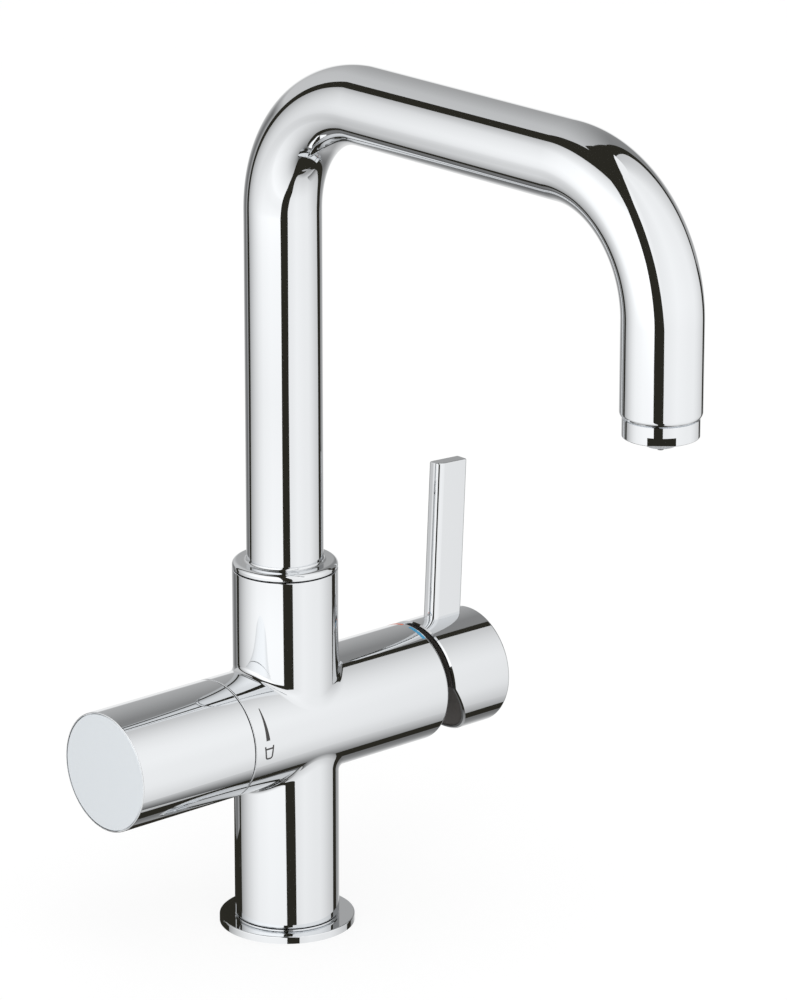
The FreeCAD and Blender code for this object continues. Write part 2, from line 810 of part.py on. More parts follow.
def make_knob_end_disc():
    disc = rod_x(end_recess_radius - end_disc_gap, -knob_outer, -end_disc_start)
    rim = outer_edges(disc, end_recess_radius - end_disc_gap, (-knob_outer, 0, barrel_height))
    disc = disc.makeChamfer(end_disc_gap, rim)
    skirt_outer = knob_bore - running_gap
    skirt_end = -end_disc_start + end_disc_skirt_length
    return disc.fuse(ring_x(skirt_outer, skirt_outer - end_disc_skirt, -end_disc_start, skirt_end))


def make_knob_screw():
    head = rod_x(knob_screw_head, -hub_outer - knob_screw_head, -hub_outer)
    shaft = rod_x(knob_screw_radius, -hub_outer, -spindle_shaft_end - seat_gap)
    socket = hexagon_x(knob_screw_head, -hub_outer - knob_screw_head, -hub_outer - knob_screw_head / 2)
    return head.fuse(shaft).cut(socket)


def make_spout_tube():
    tube = spout_rod(tube_radius, shank_top, outlet_height)
    tube = tube.makeFillet(tube_end_round, outer_edges(tube, tube_radius, (0, -spout_reach, outlet_height)))
    return tube.cut(spout_rod(tube_bore, shank_top - cut_over, outlet_height - cut_over))


def make_swivel_shank():
    shank = rod_z(tube_radius, shank_bottom, shank_top)
    shank = shank.fuse(rod_z(tube_bore - seat_gap, shank_bottom, shank_top + shank_spigot))
    outside = tube_radius + cut_over
    groove_half = o_ring_radius + seat_gap
    slot_half = stop_tip_radius + 2 * free_gap
    slot = Part.makeCylinder(
        outside,
        2 * slot_half,
        FreeCAD.Vector(0, 0, stop_z - slot_half),
        FreeCAD.Vector(0, 0, 1),
        2 * stop_slot_angle,
    )
    slot.rotate(FreeCAD.Vector(), FreeCAD.Vector(0, 0, 1), 90 - stop_slot_angle)
    cuts = [
        rod_z(shank_bore, shank_bottom - cut_over, shank_top + shank_spigot + cut_over),
        ring_z(outside, tube_radius - slide_ring_groove, slide_low, slide_low + slide_ring_length),
        slot.cut(rod_z(tube_radius - stop_slot_depth, shank_bottom, shank_top)),
    ]
    for height in o_ring_heights:
        low = socket_floor + height - groove_half
        cuts.append(ring_z(outside, o_ring_middle - o_ring_radius - seat_gap, low, low + 2 * groove_half))
    return shank.cut(cuts)


def make_shank_o_rings():
    rings = []
    for height in o_ring_heights:
        centre = FreeCAD.Vector(0, 0, socket_floor + height)
        rings.append(Part.makeTorus(o_ring_middle, o_ring_radius, centre))
    return Part.makeCompound(rings)


def make_slide_ring_lower():
    inner = tube_radius - slide_ring_groove + seat_gap
    top = slide_low + slide_ring_length - seat_gap
    return ring_z(socket_radius - seat_gap, inner, slide_low + seat_gap, top)


def make_slide_ring_upper():
    return ring_z(socket_radius - seat_gap, tube_radius + seat_gap, shank_top, collar_top - ring_gap)


def make_spout_ring():
    ring = ring_z(column_radius, tube_radius + seat_gap, ring_bottom, ring_top)
    return ring.makeFillet(ring_edge, outer_edges(ring, column_radius, (0, 0, ring_top)))


def make_spout_stop_screw():
    tip_start = tube_radius - stop_slot_depth + 2 * free_gap
    thread_start = socket_radius + free_gap
    tip = rod_y(stop_tip_radius, tip_start, thread_start + cut_over, 0, stop_z)
    thread = rod_y(stop_screw_radius - seat_gap, thread_start, stop_screw_end, 0, stop_z)
    socket = rod_y(stop_screw_radius / 2, stop_screw_end - stop_screw_radius, column_radius, 0, stop_z)
    return tip.fuse(thread).cut(socket)


def make_filter_nipple():
    root = rod_z(waterway_radius - seat_gap, socket_floor - nipple_root, socket_floor)
    flange = rod_z(pipe_radius, socket_floor, socket_floor + nipple_flange)
    post = rod_z(pipe_bore - running_gap, socket_floor, socket_floor + nipple_height)
    nipple = root.multiFuse([flange, post])
    low = socket_floor - nipple_root - cut_over
    return nipple.cut(rod_z(nipple_bore, low, socket_floor + nipple_height + cut_over))


def make_filter_pipe():
    pipe = spout_rod(pipe_radius, pipe_bottom, pipe_end)
    return pipe.cut(spout_rod(pipe_bore, pipe_bottom - cut_over, pipe_end - cut_over))


def make_outlet_bush():
    bush = rod_z(bush_radius, outlet_height + free_gap, bush_top)
    bush = bush.cut(rod_z(bush_bore, outlet_height, shoulder_z))
    return at_outlet(bush.cut(rod_z(bush_bore - bush_shoulder_step, outlet_height, bush_top + cut_over)))


def make_aerator_housing():
    ring = rod_z(aerator_radius, aerator_bottom, outlet_height)
    ring = ring.makeFillet(aerator_edge, outer_edges(ring, aerator_radius, (0, 0, aerator_bottom)))
    ring = ring.fuse(rod_z(aerator_thread, insert_bottom, aerator_top))
    ring = ring.cut(rod_z(aerator_bore, insert_bottom, aerator_top + cut_over))
    cuts = [rod_z(aerator_bore - aerator_lip_step, aerator_bottom - cut_over, aerator_top)]
    for turn in (spanner_flat_turn, spanner_flat_turn + 180):
        flat = block(
            spanner_flat_distance,
            aerator_radius + cut_over,
            -spanner_flat_width,
            spanner_flat_width,
            aerator_bottom - cut_over,
            aerator_bottom + spanner_flat_height,
        )
        flat.rotate(FreeCAD.Vector(), FreeCAD.Vector(0, 0, 1), turn)
        cuts.append(flat)
    return at_outlet(ring.cut(cuts))


def pierced_disc(low, high):
    # disc inside the outlet with two evenly spaced rings of small jets and a hole for the nozzle
    disc = ring_z(insert_outer, insert_inner, low, high)
    jets = []
    for row, count in ((1, inner_jet_count), (2, outer_jet_count)):
        pitch = insert_inner + row * jet_spacing
        for step in range(count):
            turn = 2 * math.pi * step / count
            place = (pitch * math.cos(turn), pitch * math.sin(turn))
            jets.append(rod_z(jet_radius, low - cut_over, high + cut_over, *place))
    return at_outlet(disc.cut(jets))


def make_aerator_insert():
    return pierced_disc(insert_bottom, insert_top)


def make_aerator_screen():
    return pierced_disc(insert_top, insert_top + screen_length)


def make_aerator_seal():
    return at_outlet(ring_z(bush_bore - seat_gap, aerator_bore - seal_ring_lip, aerator_top, shoulder_z))


def make_filter_nozzle():
    body = rod_z(nozzle_radius, cone_top, nozzle_top)
    cone = Part.makeCone(nozzle_tip_radius, nozzle_radius, nozzle_cone, FreeCAD.Vector(0, 0, cone_bottom))
    nozzle = body.multiFuse([cone, rod_z(nozzle_lip_radius, nozzle_tip, cone_top)])
    nozzle = nozzle.cut(rod_z(nozzle_bore, nozzle_tip - cut_over, pipe_end + cut_over))
    return at_outlet(nozzle.cut(rod_z(pipe_radius + seat_gap, pipe_end, nozzle_top + cut_over)))


pieces = {
    "valve_body": make_valve_body,
    "base_flange": make_base_flange,
    "base_seal": make_base_seal,
    "cartridge_base": make_cartridge_base,
    "cartridge_seals": make_cartridge_seals,
    "cartridge_fixed_disc": make_cartridge_fixed_disc,
    "cartridge_housing": make_cartridge_housing,
    "retaining_nut": make_retaining_nut,
    "cover_ring": make_cover_ring,
    "cartridge_rotor": make_cartridge_rotor,
    "tilt_pin": make_tilt_pin,
    "lever_spindle": make_lever_spindle,
    "disc_carrier": make_disc_carrier,
    "cartridge_moving_disc": make_cartridge_moving_disc,
    "lever_cap": make_lever_cap,
    "lever_plate": make_lever_plate,
    "lever_bar": make_lever_bar,
    "lever_stud": make_lever_stud,
    "grub_screw": make_grub_screw,
    "access_plug": make_access_plug,
    "headpart_body": make_headpart_body,
    "headpart_seal": make_headpart_seal,
    "headpart_fixed_disc": make_headpart_fixed_disc,
    "headpart_moving_disc": make_headpart_moving_disc,
    "valve_spindle": make_valve_spindle,
    "spindle_o_ring": make_spindle_o_ring,
    "spindle_circlip": make_spindle_circlip,
    "stop_ring": make_stop_ring,
    "knob_adaptor": make_knob_adaptor,
    "knob_shell": make_knob_shell,
    "knob_end_disc": make_knob_end_disc,
    "knob_screw": make_knob_screw,
    "spout_tube": make_spout_tube,
    "swivel_shank": make_swivel_shank,
    "shank_o_rings": make_shank_o_rings,
    "slide_ring_lower": make_slide_ring_lower,
    "slide_ring_upper": make_slide_ring_upper,
    "spout_ring": make_spout_ring,
    "spout_stop_screw": make_spout_stop_screw,
    "filter_nipple": make_filter_nipple,
    "filter_pipe": make_filter_pipe,
    "outlet_bush": make_outlet_bush,
    "aerator_housing": make_aerator_housing,
    "aerator_insert": make_aerator_insert,
    "aerator_screen": make_aerator_screen,
    "aerator_seal": make_aerator_seal,
    "filter_nozzle": make_filter_nozzle,
}

os.makedirs("parts", exist_ok=True)
for name, make in pieces.items():
    shape = make()
    state = "valid" if shape.isValid() else "not valid"
    print(name, len(shape.Solids), "solid(s)", round(shape.Volume), "mm3", state)
    shape.exportStep("parts/" + name + ".step")
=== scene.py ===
import json
import bpy
import numpy as np
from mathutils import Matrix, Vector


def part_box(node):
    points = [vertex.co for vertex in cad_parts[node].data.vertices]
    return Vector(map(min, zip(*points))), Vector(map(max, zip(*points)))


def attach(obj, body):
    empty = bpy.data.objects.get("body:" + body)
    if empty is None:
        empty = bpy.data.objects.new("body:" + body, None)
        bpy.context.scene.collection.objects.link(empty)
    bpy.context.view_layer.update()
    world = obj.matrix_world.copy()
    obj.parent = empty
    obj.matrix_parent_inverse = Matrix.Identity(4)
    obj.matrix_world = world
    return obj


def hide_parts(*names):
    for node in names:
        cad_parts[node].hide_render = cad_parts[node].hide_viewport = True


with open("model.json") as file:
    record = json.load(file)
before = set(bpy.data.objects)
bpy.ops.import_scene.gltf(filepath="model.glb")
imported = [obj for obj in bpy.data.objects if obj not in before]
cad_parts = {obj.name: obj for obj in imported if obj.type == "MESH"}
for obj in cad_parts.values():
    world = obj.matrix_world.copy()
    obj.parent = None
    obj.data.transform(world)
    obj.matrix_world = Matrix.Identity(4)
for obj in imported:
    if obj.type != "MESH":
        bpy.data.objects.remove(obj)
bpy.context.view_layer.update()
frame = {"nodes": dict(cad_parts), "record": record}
print("frame:", len(frame["nodes"]), "nodes")

mm = 0.001
deg = np.pi / 180
quarter = np.pi / 2
nearlyFull = 0.98  # share of a short line that the rounding at its end takes
turnSteps = 240  # round a large turned piece
xAxis, yAxis, zAxis = np.eye(3)
scene = bpy.context.scene


# Camera, fitted to the tap's outlines

photoCamera = {
    "place": (-1398.74, -1640.79, 880.40),  # mm from the middle of the foot
    "pitch": 72.133,  # degrees, 90 looks level
    "heading": -41.639,  # degrees from +Y
    "focalShare": 5.4977,  # focal length over the long side of the picture
    "sensor": 36.0,  # mm
    "farthest": 50,  # m
}

cameraData = bpy.data.cameras.new("photoCamera")
cameraData.sensor_width = photoCamera["sensor"]
cameraData.lens = photoCamera["focalShare"] * photoCamera["sensor"]
cameraData.clip_end = photoCamera["farthest"]
camera = bpy.data.objects.new("photoCamera", cameraData)
camera.location = np.array(photoCamera["place"]) * mm
heading = photoCamera["heading"] * deg
camera.rotation_euler = (photoCamera["pitch"] * deg, 0, heading)
scene.collection.objects.link(camera)
scene.camera = camera
towardsCamera = np.arctan2(photoCamera["place"][1], photoCamera["place"][0])
cameraRight = (np.cos(heading), np.sin(heading), 0)
cameraBack = (-np.sin(heading), np.cos(heading), 0)  # level, away from the camera
print("camera placed")


# Places that several pieces share, from the frame

bodyLow, bodyHigh = np.array(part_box("valve_body"))
ringLow, ringHigh = np.array(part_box("spout_ring"))
flangeHigh = np.array(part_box("base_flange"))[1]
tubeLow, tubeHigh = np.array(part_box("spout_tube"))
outletLow, outletHigh = np.array(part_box("aerator_housing"))
nozzleLow, nozzleHigh = np.array(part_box("filter_nozzle"))
knobLow, knobHigh = np.array(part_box("knob_shell"))
capLow, capHigh = np.array(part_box("lever_cap"))
columnRadius, barrelRadius, tubeRadius = ringHigh[0], bodyHigh[1], tubeHigh[0]
columnWide, barrelWide = columnRadius / mm, barrelRadius / mm  # the same for outlines, in mm
barrelHeight = (knobLow[2] + knobHigh[2]) / 2
barrelCentre = np.array([0, 0, barrelHeight])
outletCentre = np.array([0, (outletLow[1] + outletHigh[1]) / 2, 0])

# what a piece is turned about: a point, the axis, and the two sides that the turn runs between
columnStand = (np.zeros(3), zAxis, xAxis, yAxis)
outletStand = (outletCentre, zAxis, xAxis, yAxis)
leverStand = (barrelCentre, xAxis, yAxis, zAxis)
knobStand = (barrelCentre, -xAxis, yAxis, zAxis)


# Materials

def linearColour(hexText):
    # sRGB hex to linear red, green, blue, alpha
    share = np.array([int(hexText[i:i + 2], 16) for i in (1, 3, 5)]) / 255
    linear = np.where(share <= 0.04045, share / 12.92, ((share + 0.055) / 1.055) ** 2.4)
    return (*linear, 1.0)


def addNode(tree, kind, settings={}, links={}):
    # a shader node with its settings, given by property or input, and its incoming links
    node = tree.nodes.new("ShaderNode" + kind)
    for key, value in settings.items():
        if key == "stops":
            ramp = node.color_ramp.elements
            for place, level in value[1:-1]:
                ramp.new(place)
            for stop, (place, level) in zip(ramp, value):
                stop.position = place
                stop.color = (level, level, level, 1)
        elif isinstance(key, str) and hasattr(node, key):
            setattr(node, key, value)
        else:
            node.inputs[key].default_value = value
    for key, socket in links.items():
        tree.links.new(socket, node.inputs[key])
    return node


def startMaterial(name, colour, metallic, roughness):
    # a material with its main shader set, and the piece's own coordinates
    material = bpy.data.materials.new(name)
    material.use_nodes = True
    tree = material.node_tree
    shader = tree.nodes["Principled BSDF"]
    shader.inputs["Base Color"].default_value = linearColour(colour)
    shader.inputs["Metallic"].default_value = metallic
    shader.inputs["Roughness"].default_value = roughness
    return material, tree, shader, addNode(tree, "TexCoord").outputs["Object"]


def roughen(tree, shader, lifted, relief, patches, dullness):
    # one pattern lifts the surface, another changes its roughness
    least, most = dullness
    bump = addNode(tree, "Bump", relief, {"Height": lifted.outputs["Fac"]})
    dull = addNode(tree, "MapRange", {"To Min": least, "To Max": most}, {"Value": patches.outputs["Fac"]})
    tree.links.new(dull.outputs["Result"], shader.inputs["Roughness"])
    tree.links.new(bump.outputs["Normal"], shader.inputs["Normal"])


def polishedChrome():
    # Chrome plate on buffed brass: a mirror with a faint cool tint. Buffing leaves soft waves a
    # finger wide that bend long reflections a little, and wiping leaves dull patches.
    finish = {"waveSize": 22 * mm, "waveHeight": 0.0008 * mm, "wipeSize": 9 * mm, "dullness": (0.015, 0.05)}
    material, tree, shader, place = startMaterial("polishedChromePlate", "#E6E8EA", 1.0, 0.03)
    waves = addNode(tree, "TexNoise", {"Scale": 1 / finish["waveSize"], "Detail": 1.0}, {"Vector": place})
    wipes = addNode(tree, "TexNoise", {"Scale": 1 / finish["wipeSize"], "Detail": 4.0}, {"Vector": place})
    relief = {"Distance": finish["waveHeight"], "Strength": 1.0}
    roughen(tree, shader, waves, relief, wipes, finish["dullness"])
    return material


def satinChrome():
    # Chrome over a face that was turned on a lathe: fine rings round the barrel's axis spread the
    # reflection, so the disc reads as one even pale grey. Rings are drawn coarser than real ones.
    finish = {"ringSpacing": 0.35 * mm, "coarser": 2 * np.pi, "ringDepth": 0.002 * mm, "cloudSize": 14 * mm}
    finish["dullness"] = (0.26, 0.34)
    waveLength = np.pi / 10  # of the wave node at scale 1
    material, tree, shader, place = startMaterial("satinChromePlate", "#E4E9ED", 0.55, 0.3)
    centred = addNode(tree, "Mapping", {"Location": (0, 0, -barrelHeight)}, {"Vector": place})
    ringKind = {"wave_type": "RINGS", "rings_direction": "X"}
    ringKind["Scale"] = waveLength / (finish["coarser"] * finish["ringSpacing"])
    rings = addNode(tree, "TexWave", ringKind, {"Vector": centred.outputs["Vector"]})
    clouds = addNode(tree, "TexNoise", {"Scale": 1 / finish["cloudSize"], "Detail": 3.0}, {"Vector": place})
    relief = {"Distance": finish["ringDepth"], "Strength": 0.4}
    roughen(tree, shader, rings, relief, clouds, finish["dullness"])
    return material


def grained(name, pale, dark, metallic, roughness, grain, relief, ior=None):
    # two close colours mixed by a fine noise, which also lifts the surface a little
    material, tree, shader, place = startMaterial(name, pale, metallic, roughness)
    if ior:
        shader.inputs["IOR"].default_value = ior
    noise = addNode(tree, "TexNoise", {"Scale": 1 / (grain * mm), "Detail": 5.0}, {"Vector": place})
    colours = {"data_type": "RGBA", 6: linearColour(pale), 7: linearColour(dark)}
    mix = addNode(tree, "Mix", colours, {"Factor": noise.outputs["Fac"]})
    lift = {"Distance": relief * mm, "Strength": 0.5}
    bump = addNode(tree, "Bump", lift, {"Height": noise.outputs["Fac"]})
    tree.links.new(mix.outputs[2], shader.inputs["Base Color"])
    tree.links.new(bump.outputs["Normal"], shader.inputs["Normal"])
    return material


# By the record's slots, and the inks. Each grained one has two colours, metallic, roughness, size of the
# grain and its relief in mm, and its IOR where that isn't the usual one.
finishes = {
    "chrome": polishedChrome(),
    "satin_chrome": satinChrome(),
    # bar brass from an automatic lathe: warm yellow with darker drag lines and a soft sheen
    "brass": grained("turnedBrass", "#C8A765", "#A98745", 1.0, 0.28, 0.8, 0.004),
    # cold-formed stainless steel: grey metal, slightly streaky, blurred reflections
    "steel": grained("stainlessSteel", "#B4B4B2", "#979796", 1.0, 0.32, 0.6, 0.003),
    # lapped alumina disc: dense off-white ceramic with a glassy face
    "ceramic": grained("aluminaCeramic", "#F0EEE6", "#E2DFD4", 0.0, 0.12, 1.5, 0.001, 1.76),
    # injection-moulded acetal: milky white, waxy, faintly mottled where the melt flowed
    "pale_plastic": grained("mouldedAcetal", "#E6E5DF", "#D8D6CE", 0.0, 0.38, 3.0, 0.006, 1.48),
    # moulded dark grey ABS: a fine spark-eroded grain keeps it satin
    "dark_plastic": grained("mouldedDarkAbs", "#4A4643", "#423E3B", 0.0, 0.42, 0.4, 0.010, 1.53),
    # acetal nozzle, smooth from the mould: a pale plastic whose colour is darkened to grey as painted shade
    # for its low, downward-facing place
    "nozzle_plastic": grained("acetalWithPaintedShade", "#BDBFC1", "#B3B5B7", 0.0, 0.33, 1.2, 0.004, 1.48),
    # cross-linked polythene pipe: cloudy white, waxy, with long drawn streaks
    "pipe_plastic": grained("polythenePipe", "#EAEAE4", "#DCDCD4", 0.0, 0.35, 5.0, 0.004, 1.5),
    # moulded EPDM: near black, dull, with a bloom that greys it in patches
    "rubber": grained("mouldedRubber", "#1D1D1D", "#2A2A29", 0.0, 0.62, 0.9, 0.010, 1.52),
    # pad-printed enamel inks: flat colour, a touch uneven where the pad pressed
    "darkInk": grained("darkInk", "#2E2C2B", "#383534", 0.0, 0.35, 0.5, 0.002),
    "blueInk": grained("blueInk", "#3C9AC4", "#3590BA", 0.0, 0.35, 0.5, 0.002),
    "redInk": grained("redInk", "#E0643A", "#D65B33", 0.0, 0.35, 0.5, 0.002),
}
for entry in frame["record"]["subparts"]:
    node = frame["nodes"][entry["node"]]
    node.material_slots[0].material = finishes[entry["material_slot"]]
print("materials:", len(finishes))


# Meshes: a piece is a list of patches, each a grid of points with exact normals

weldsPerMetre = 1e7  # points within a tenth of a micrometre become one


def addPiece(name, patches, body, nodes, slot, ink=None):
    # Joins the patches into one closed mesh: equal points are welded, quads that shrink to a point
    # become triangles, and each corner keeps its own patch's normal, so edges stay crisp.
    points, normals, faces = [], [], []
    start = 0
    for grid, normal, keep in patches:
        index = start + np.arange(grid.shape[0] * grid.shape[1]).reshape(grid.shape[:2])
        quads = np.stack([index[:-1, :-1], index[1:, :-1], index[1:, 1:], index[:-1, 1:]], axis=-1)
        across = np.cross(grid[1:, 1:] - grid[:-1, :-1], grid[:-1, 1:] - grid[1:, :-1])
        quads = quads[keep] if keep is not None else quads.reshape(-1, 4)
        if np.sum(across * normal[:-1, :-1]) < 0:
            quads = quads[:, ::-1]
        points.append(grid.reshape(-1, 3))
        normals.append(np.broadcast_to(normal, grid.shape).reshape(-1, 3))
        faces.append(quads)
        start += index.size
    points, normals, faces = (np.concatenate(rows) for rows in (points, normals, faces))
    keys = np.round(points * weldsPerMetre).astype(np.int64)
    first, welded = np.unique(keys, axis=0, return_index=True, return_inverse=True)[1:]
    corners = welded.reshape(-1)[faces]
    repeats = corners == np.roll(corners, -1, axis=1)
    count = repeats.sum(axis=1)
    kept = ~repeats[count == 1]
    quads, quadNormals = corners[count == 0], normals[faces[count == 0]]
    triangles = corners[count == 1][kept].reshape(-1, 3)
    triangleNormals = normals[faces[count == 1]][kept]
    mesh = bpy.data.meshes.new(name)
    mesh.from_pydata(points[first].tolist(), [], quads.tolist() + triangles.tolist())
    mesh.polygons.foreach_set("use_smooth", np.ones(len(mesh.polygons), bool))
    mesh.normals_split_custom_set(np.concatenate([quadNormals.reshape(-1, 3), triangleNormals]).tolist())
    mesh.materials.append(finishes[ink or slot])
    piece = bpy.data.objects.new(name, mesh)
    scene.collection.objects.link(piece)
    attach(piece, body)
    if nodes:
        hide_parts(*nodes)
    print("piece:", name, len(mesh.polygons), "faces")


def outlineRuns(corners, rounding, arcSteps=8):
    # An outline of (radius, along) corners in mm as smooth runs with outward normals: straight
    # lines, and at each corner with a rounding an arc that touches both lines.
    corners = np.array(corners, float) * mm
    runs = []
    start = corners[0]
    for i in range(1, len(corners)):
        here = corners[i]
        line = (here - corners[i - 1]) / np.linalg.norm(here - corners[i - 1])
        normal = np.array([line[1], -line[0]])
        radius = rounding.get(i, 0) * mm
        if radius == 0:
            runs.append((np.array([start, here]), np.array([normal, normal])))
            start = here
            continue
        ahead = (corners[i + 1] - here) / np.linalg.norm(corners[i + 1] - here)
        half = np.arccos(-line @ ahead) / 2
        arcStart = here - line * radius / np.tan(half)
        middle = (ahead - line) / np.linalg.norm(ahead - line)
        centre = here + middle * radius / np.sin(half)
        first = (arcStart - centre) / radius
        last = (here + ahead * radius / np.tan(half) - centre) / radius
        turn = np.arccos(first @ last)
        share = np.linspace(0, 1, arcSteps + 1)[:, None]
        unit = (np.sin((1 - share) * turn) * first + np.sin(share * turn) * last) / np.sin(turn)
        runs.append((np.array([start, arcStart]), np.array([normal, normal])))
        runs.append((centre + radius * unit, unit * np.sign(first @ normal)))
        start = centre + radius * last
    return runs


def turning(angle, start, side):
    # unit vectors that turn from one direction towards another
    return np.cos(angle)[..., None] * start + np.sin(angle)[..., None] * side


def fullTurn(steps):
    return np.linspace(0, 2 * np.pi, steps + 1)


def turnWithStops(stops, counts):
    # angles from the first stop to the last with every stop among them, and the stops' places in the list
    parts = [np.linspace(a, b, n + 1)[:-1] for a, b, n in zip(stops, stops[1:], counts)]
    return np.concatenate([*parts, stops[-1:]]), np.concatenate([[0], np.cumsum(counts)])


def turnedPatches(corners, rounding, stand, angles):
    # Surface of revolution: radius times a turning unit vector, plus the distance along the axis.
    origin, along, sideA, sideB = stand
    ray = turning(angles, sideA, sideB)
    patches = []
    for outline, normal in outlineRuns(corners, rounding):
        grid = origin + outline[:, 1, None, None] * along + outline[:, 0, None, None] * ray
        facing = normal[:, 1, None, None] * along + normal[:, 0, None, None] * ray
        patches.append((grid, facing, None))
    return patches


def strip(first, second, facing):
    # a band between two rows of points
    return np.stack([first, second]), np.broadcast_to(facing, (2, *first.shape)), None


def edgeArc(start, facing, ahead, radius, steps):
    # a rounded edge: a quarter arc from a row of points, turning from their facing to the one ahead
    climb = np.linspace(0, quarter, steps + 1)[:, None]
    normal = turning(climb, facing, ahead)
    return start + radius * (normal - facing), normal, None


def boxBoundary(u, v):
    # the border of a rectangle of grid values, once round and back to its first corner
    grid = np.stack(np.meshgrid(u, v, indexing="ij"), axis=-1)
    return np.concatenate([grid[:-1, 0], grid[-1, :-1], grid[:0:-1, -1], grid[0, :0:-1], grid[:1, 0]])


def blindHole(onSkin, mouth, border, spin, sunk, centre, steps=4):
    # A round hole along Y in a window of a grid: the skin spreads from the hole's mouth to the window's
    # border, then come the wall and the floor. sunk puts the mouth's points down on the floor.
    share = np.linspace(0, 1, steps + 1)[:, None, None]
    spread = mouth * (1 - share) + border * share
    skin, facing = onSkin(spread[..., 0], spread[..., 1])
    floor = sunk(skin[0])
    pit = np.broadcast_to([centre[0], floor[0, 1], centre[1]], floor.shape)
    wall = strip(skin[0], floor, -turning(spin, xAxis, zAxis))
    return [(skin, facing, None), wall, strip(floor, pit, yAxis)]


# Cross body: column and barrel with a rolled fillet where they meet

crossBody = {
    "fillet": (2.8, 14.0),  # at the column's sides, and at its front and back
    "filletPower": 7,  # higher keeps the small fillet for longer round the column
    "barrelEdges": (1.6, 0.5),  # towards the lever, and towards the knob
    "collarEdge": 0.4,
    "ringGap": 0.25,  # open seam under the spout ring
    "footEdge": 1.0,
    "footGap": 0.25,  # open seam above the foot plate
    "boxHalf": 30.0,  # half length of the barrel stretch that holds the junction
    "boxSteps": 48,  # along that stretch
    "halfTurnSteps": 72,  # over half the barrel
    "spreadSteps": 12,  # from the junction to the border of that stretch
    "filletSteps": 10,
    "socketRadius": 17.0,
    "socketFloor": 116.0,
    "spigotRadius": 18.9,
    "cavityRadius": 17.5,
    "cavityTop": 46.0,
    # bores in the barrel's ends, outermost first; distances are from the column's axis
    "leverBore": [(23.0, 66.4), (20.5, 58.25), (18.0, 24.0)],  # radius, and the distance it ends at
    "knobBore": [(15.86, 30.0), (11.0, 8.0)],
    "stopRadius": 2.0,
    "stopHeight": 148.0,
    "stopDepth": 17.6,  # distance of the hole's end from the column's axis
    "stopWindow": 5,  # grid steps each side of the hole
    "stopBand": 4.6,  # half height of the window
}


def onBarrel(x, angle):
    # a point of the barrel: x along it, the angle from +Y towards +Z round it
    facing = turning(angle, yAxis, zAxis)
    return x[..., None] * xAxis + barrelCentre + barrelRadius * facing, facing


def onColumn(angle, height):
    # a point of the column: the angle from +X towards +Y round it, and its height
    facing = turning(angle, xAxis, yAxis)
    return columnRadius * facing + height[..., None] * zAxis, facing


def junctionPatches(side):
    # The fillet is the trace of a ball that rolls in the corner outside both cylinders: its centre
    # stays one ball radius off each, and the ball grows from the sides towards the front and back.
    # side is 1 above the barrel and -1 below it.
    half = crossBody["boxHalf"] * mm
    boxX = np.linspace(-half, half, crossBody["boxSteps"] + 1)
    boxAngle = np.linspace(0, np.pi, crossBody["halfTurnSteps"] + 1)
    border = boxBoundary(boxX, boxAngle)
    turn = np.unwrap(np.arctan2(1 - border[:, 1] / quarter, border[:, 0] / half))
    beside, before = crossBody["fillet"]
    ball = (beside + (before - beside) * np.abs(np.sin(turn)) ** crossBody["filletPower"]) * mm
    reach = columnRadius + ball
    lift = np.sqrt((barrelRadius + ball) ** 2 - (reach * np.sin(turn)) ** 2)
    hole = np.stack([reach * np.cos(turn), np.arctan2(lift, reach * np.sin(turn))], axis=1)
    share = np.linspace(0, 1, crossBody["spreadSteps"] + 1)[:, None, None]
    spread = hole * (1 - share) + border * share
    barrelSkin = onBarrel(spread[..., 0], side * spread[..., 1])
    outward = turning(turn, xAxis, yAxis)
    centre = reach[:, None] * outward + (barrelHeight + side * lift)[:, None] * zAxis
    toColumn = -outward
    toBarrel = (barrelCentre + centre * xAxis - centre) / (barrelRadius + ball)[:, None]
    angle = np.arccos(np.sum(toColumn * toBarrel, axis=1))[:, None]
    step = np.linspace(0, 1, crossBody["filletSteps"] + 1)[:, None, None]
    ray = (np.sin((1 - step) * angle) * toColumn + np.sin(step * angle) * toBarrel) / np.sin(angle)
    skin = centre + ball[:, None] * ray
    loop = skin[:, :-1]
    facing = np.cross(np.gradient(loop, axis=0), np.roll(loop, -1, axis=1) - np.roll(loop, 1, axis=1))
    facing = np.concatenate([facing, facing[:, :1]], axis=1)
    facing *= -np.sign(np.sum(facing * ray, axis=-1))[..., None]
    facing /= np.linalg.norm(facing, axis=-1)[..., None]
    facing[0], facing[-1] = outward, -toBarrel
    return turn, barrelHeight + side * lift, [(*barrelSkin, None), (skin, facing, None)]


def stopHolePatches(turn, heights, columns):
    # a blind round hole in the collar's back, in the window that the column's grid leaves open
    radius, middle, depth = (crossBody[key] * mm for key in ("stopRadius", "stopHeight", "stopDepth"))
    border = boxBoundary(turn[columns], heights)
    across = (quarter - border[:, 0]) / np.ptp(turn[columns])
    spin = np.arctan2((border[:, 1] - middle) / np.ptp(heights), across)
    turnAt, heightAt = np.arccos(radius * np.cos(spin) / columnRadius), middle + radius * np.sin(spin)
    mouth = np.stack([turnAt, heightAt], axis=1)

    def sunk(row):
        return row * (1 - yAxis) + depth * yAxis

    return blindHole(onColumn, mouth, border, spin, sunk, (0, middle))


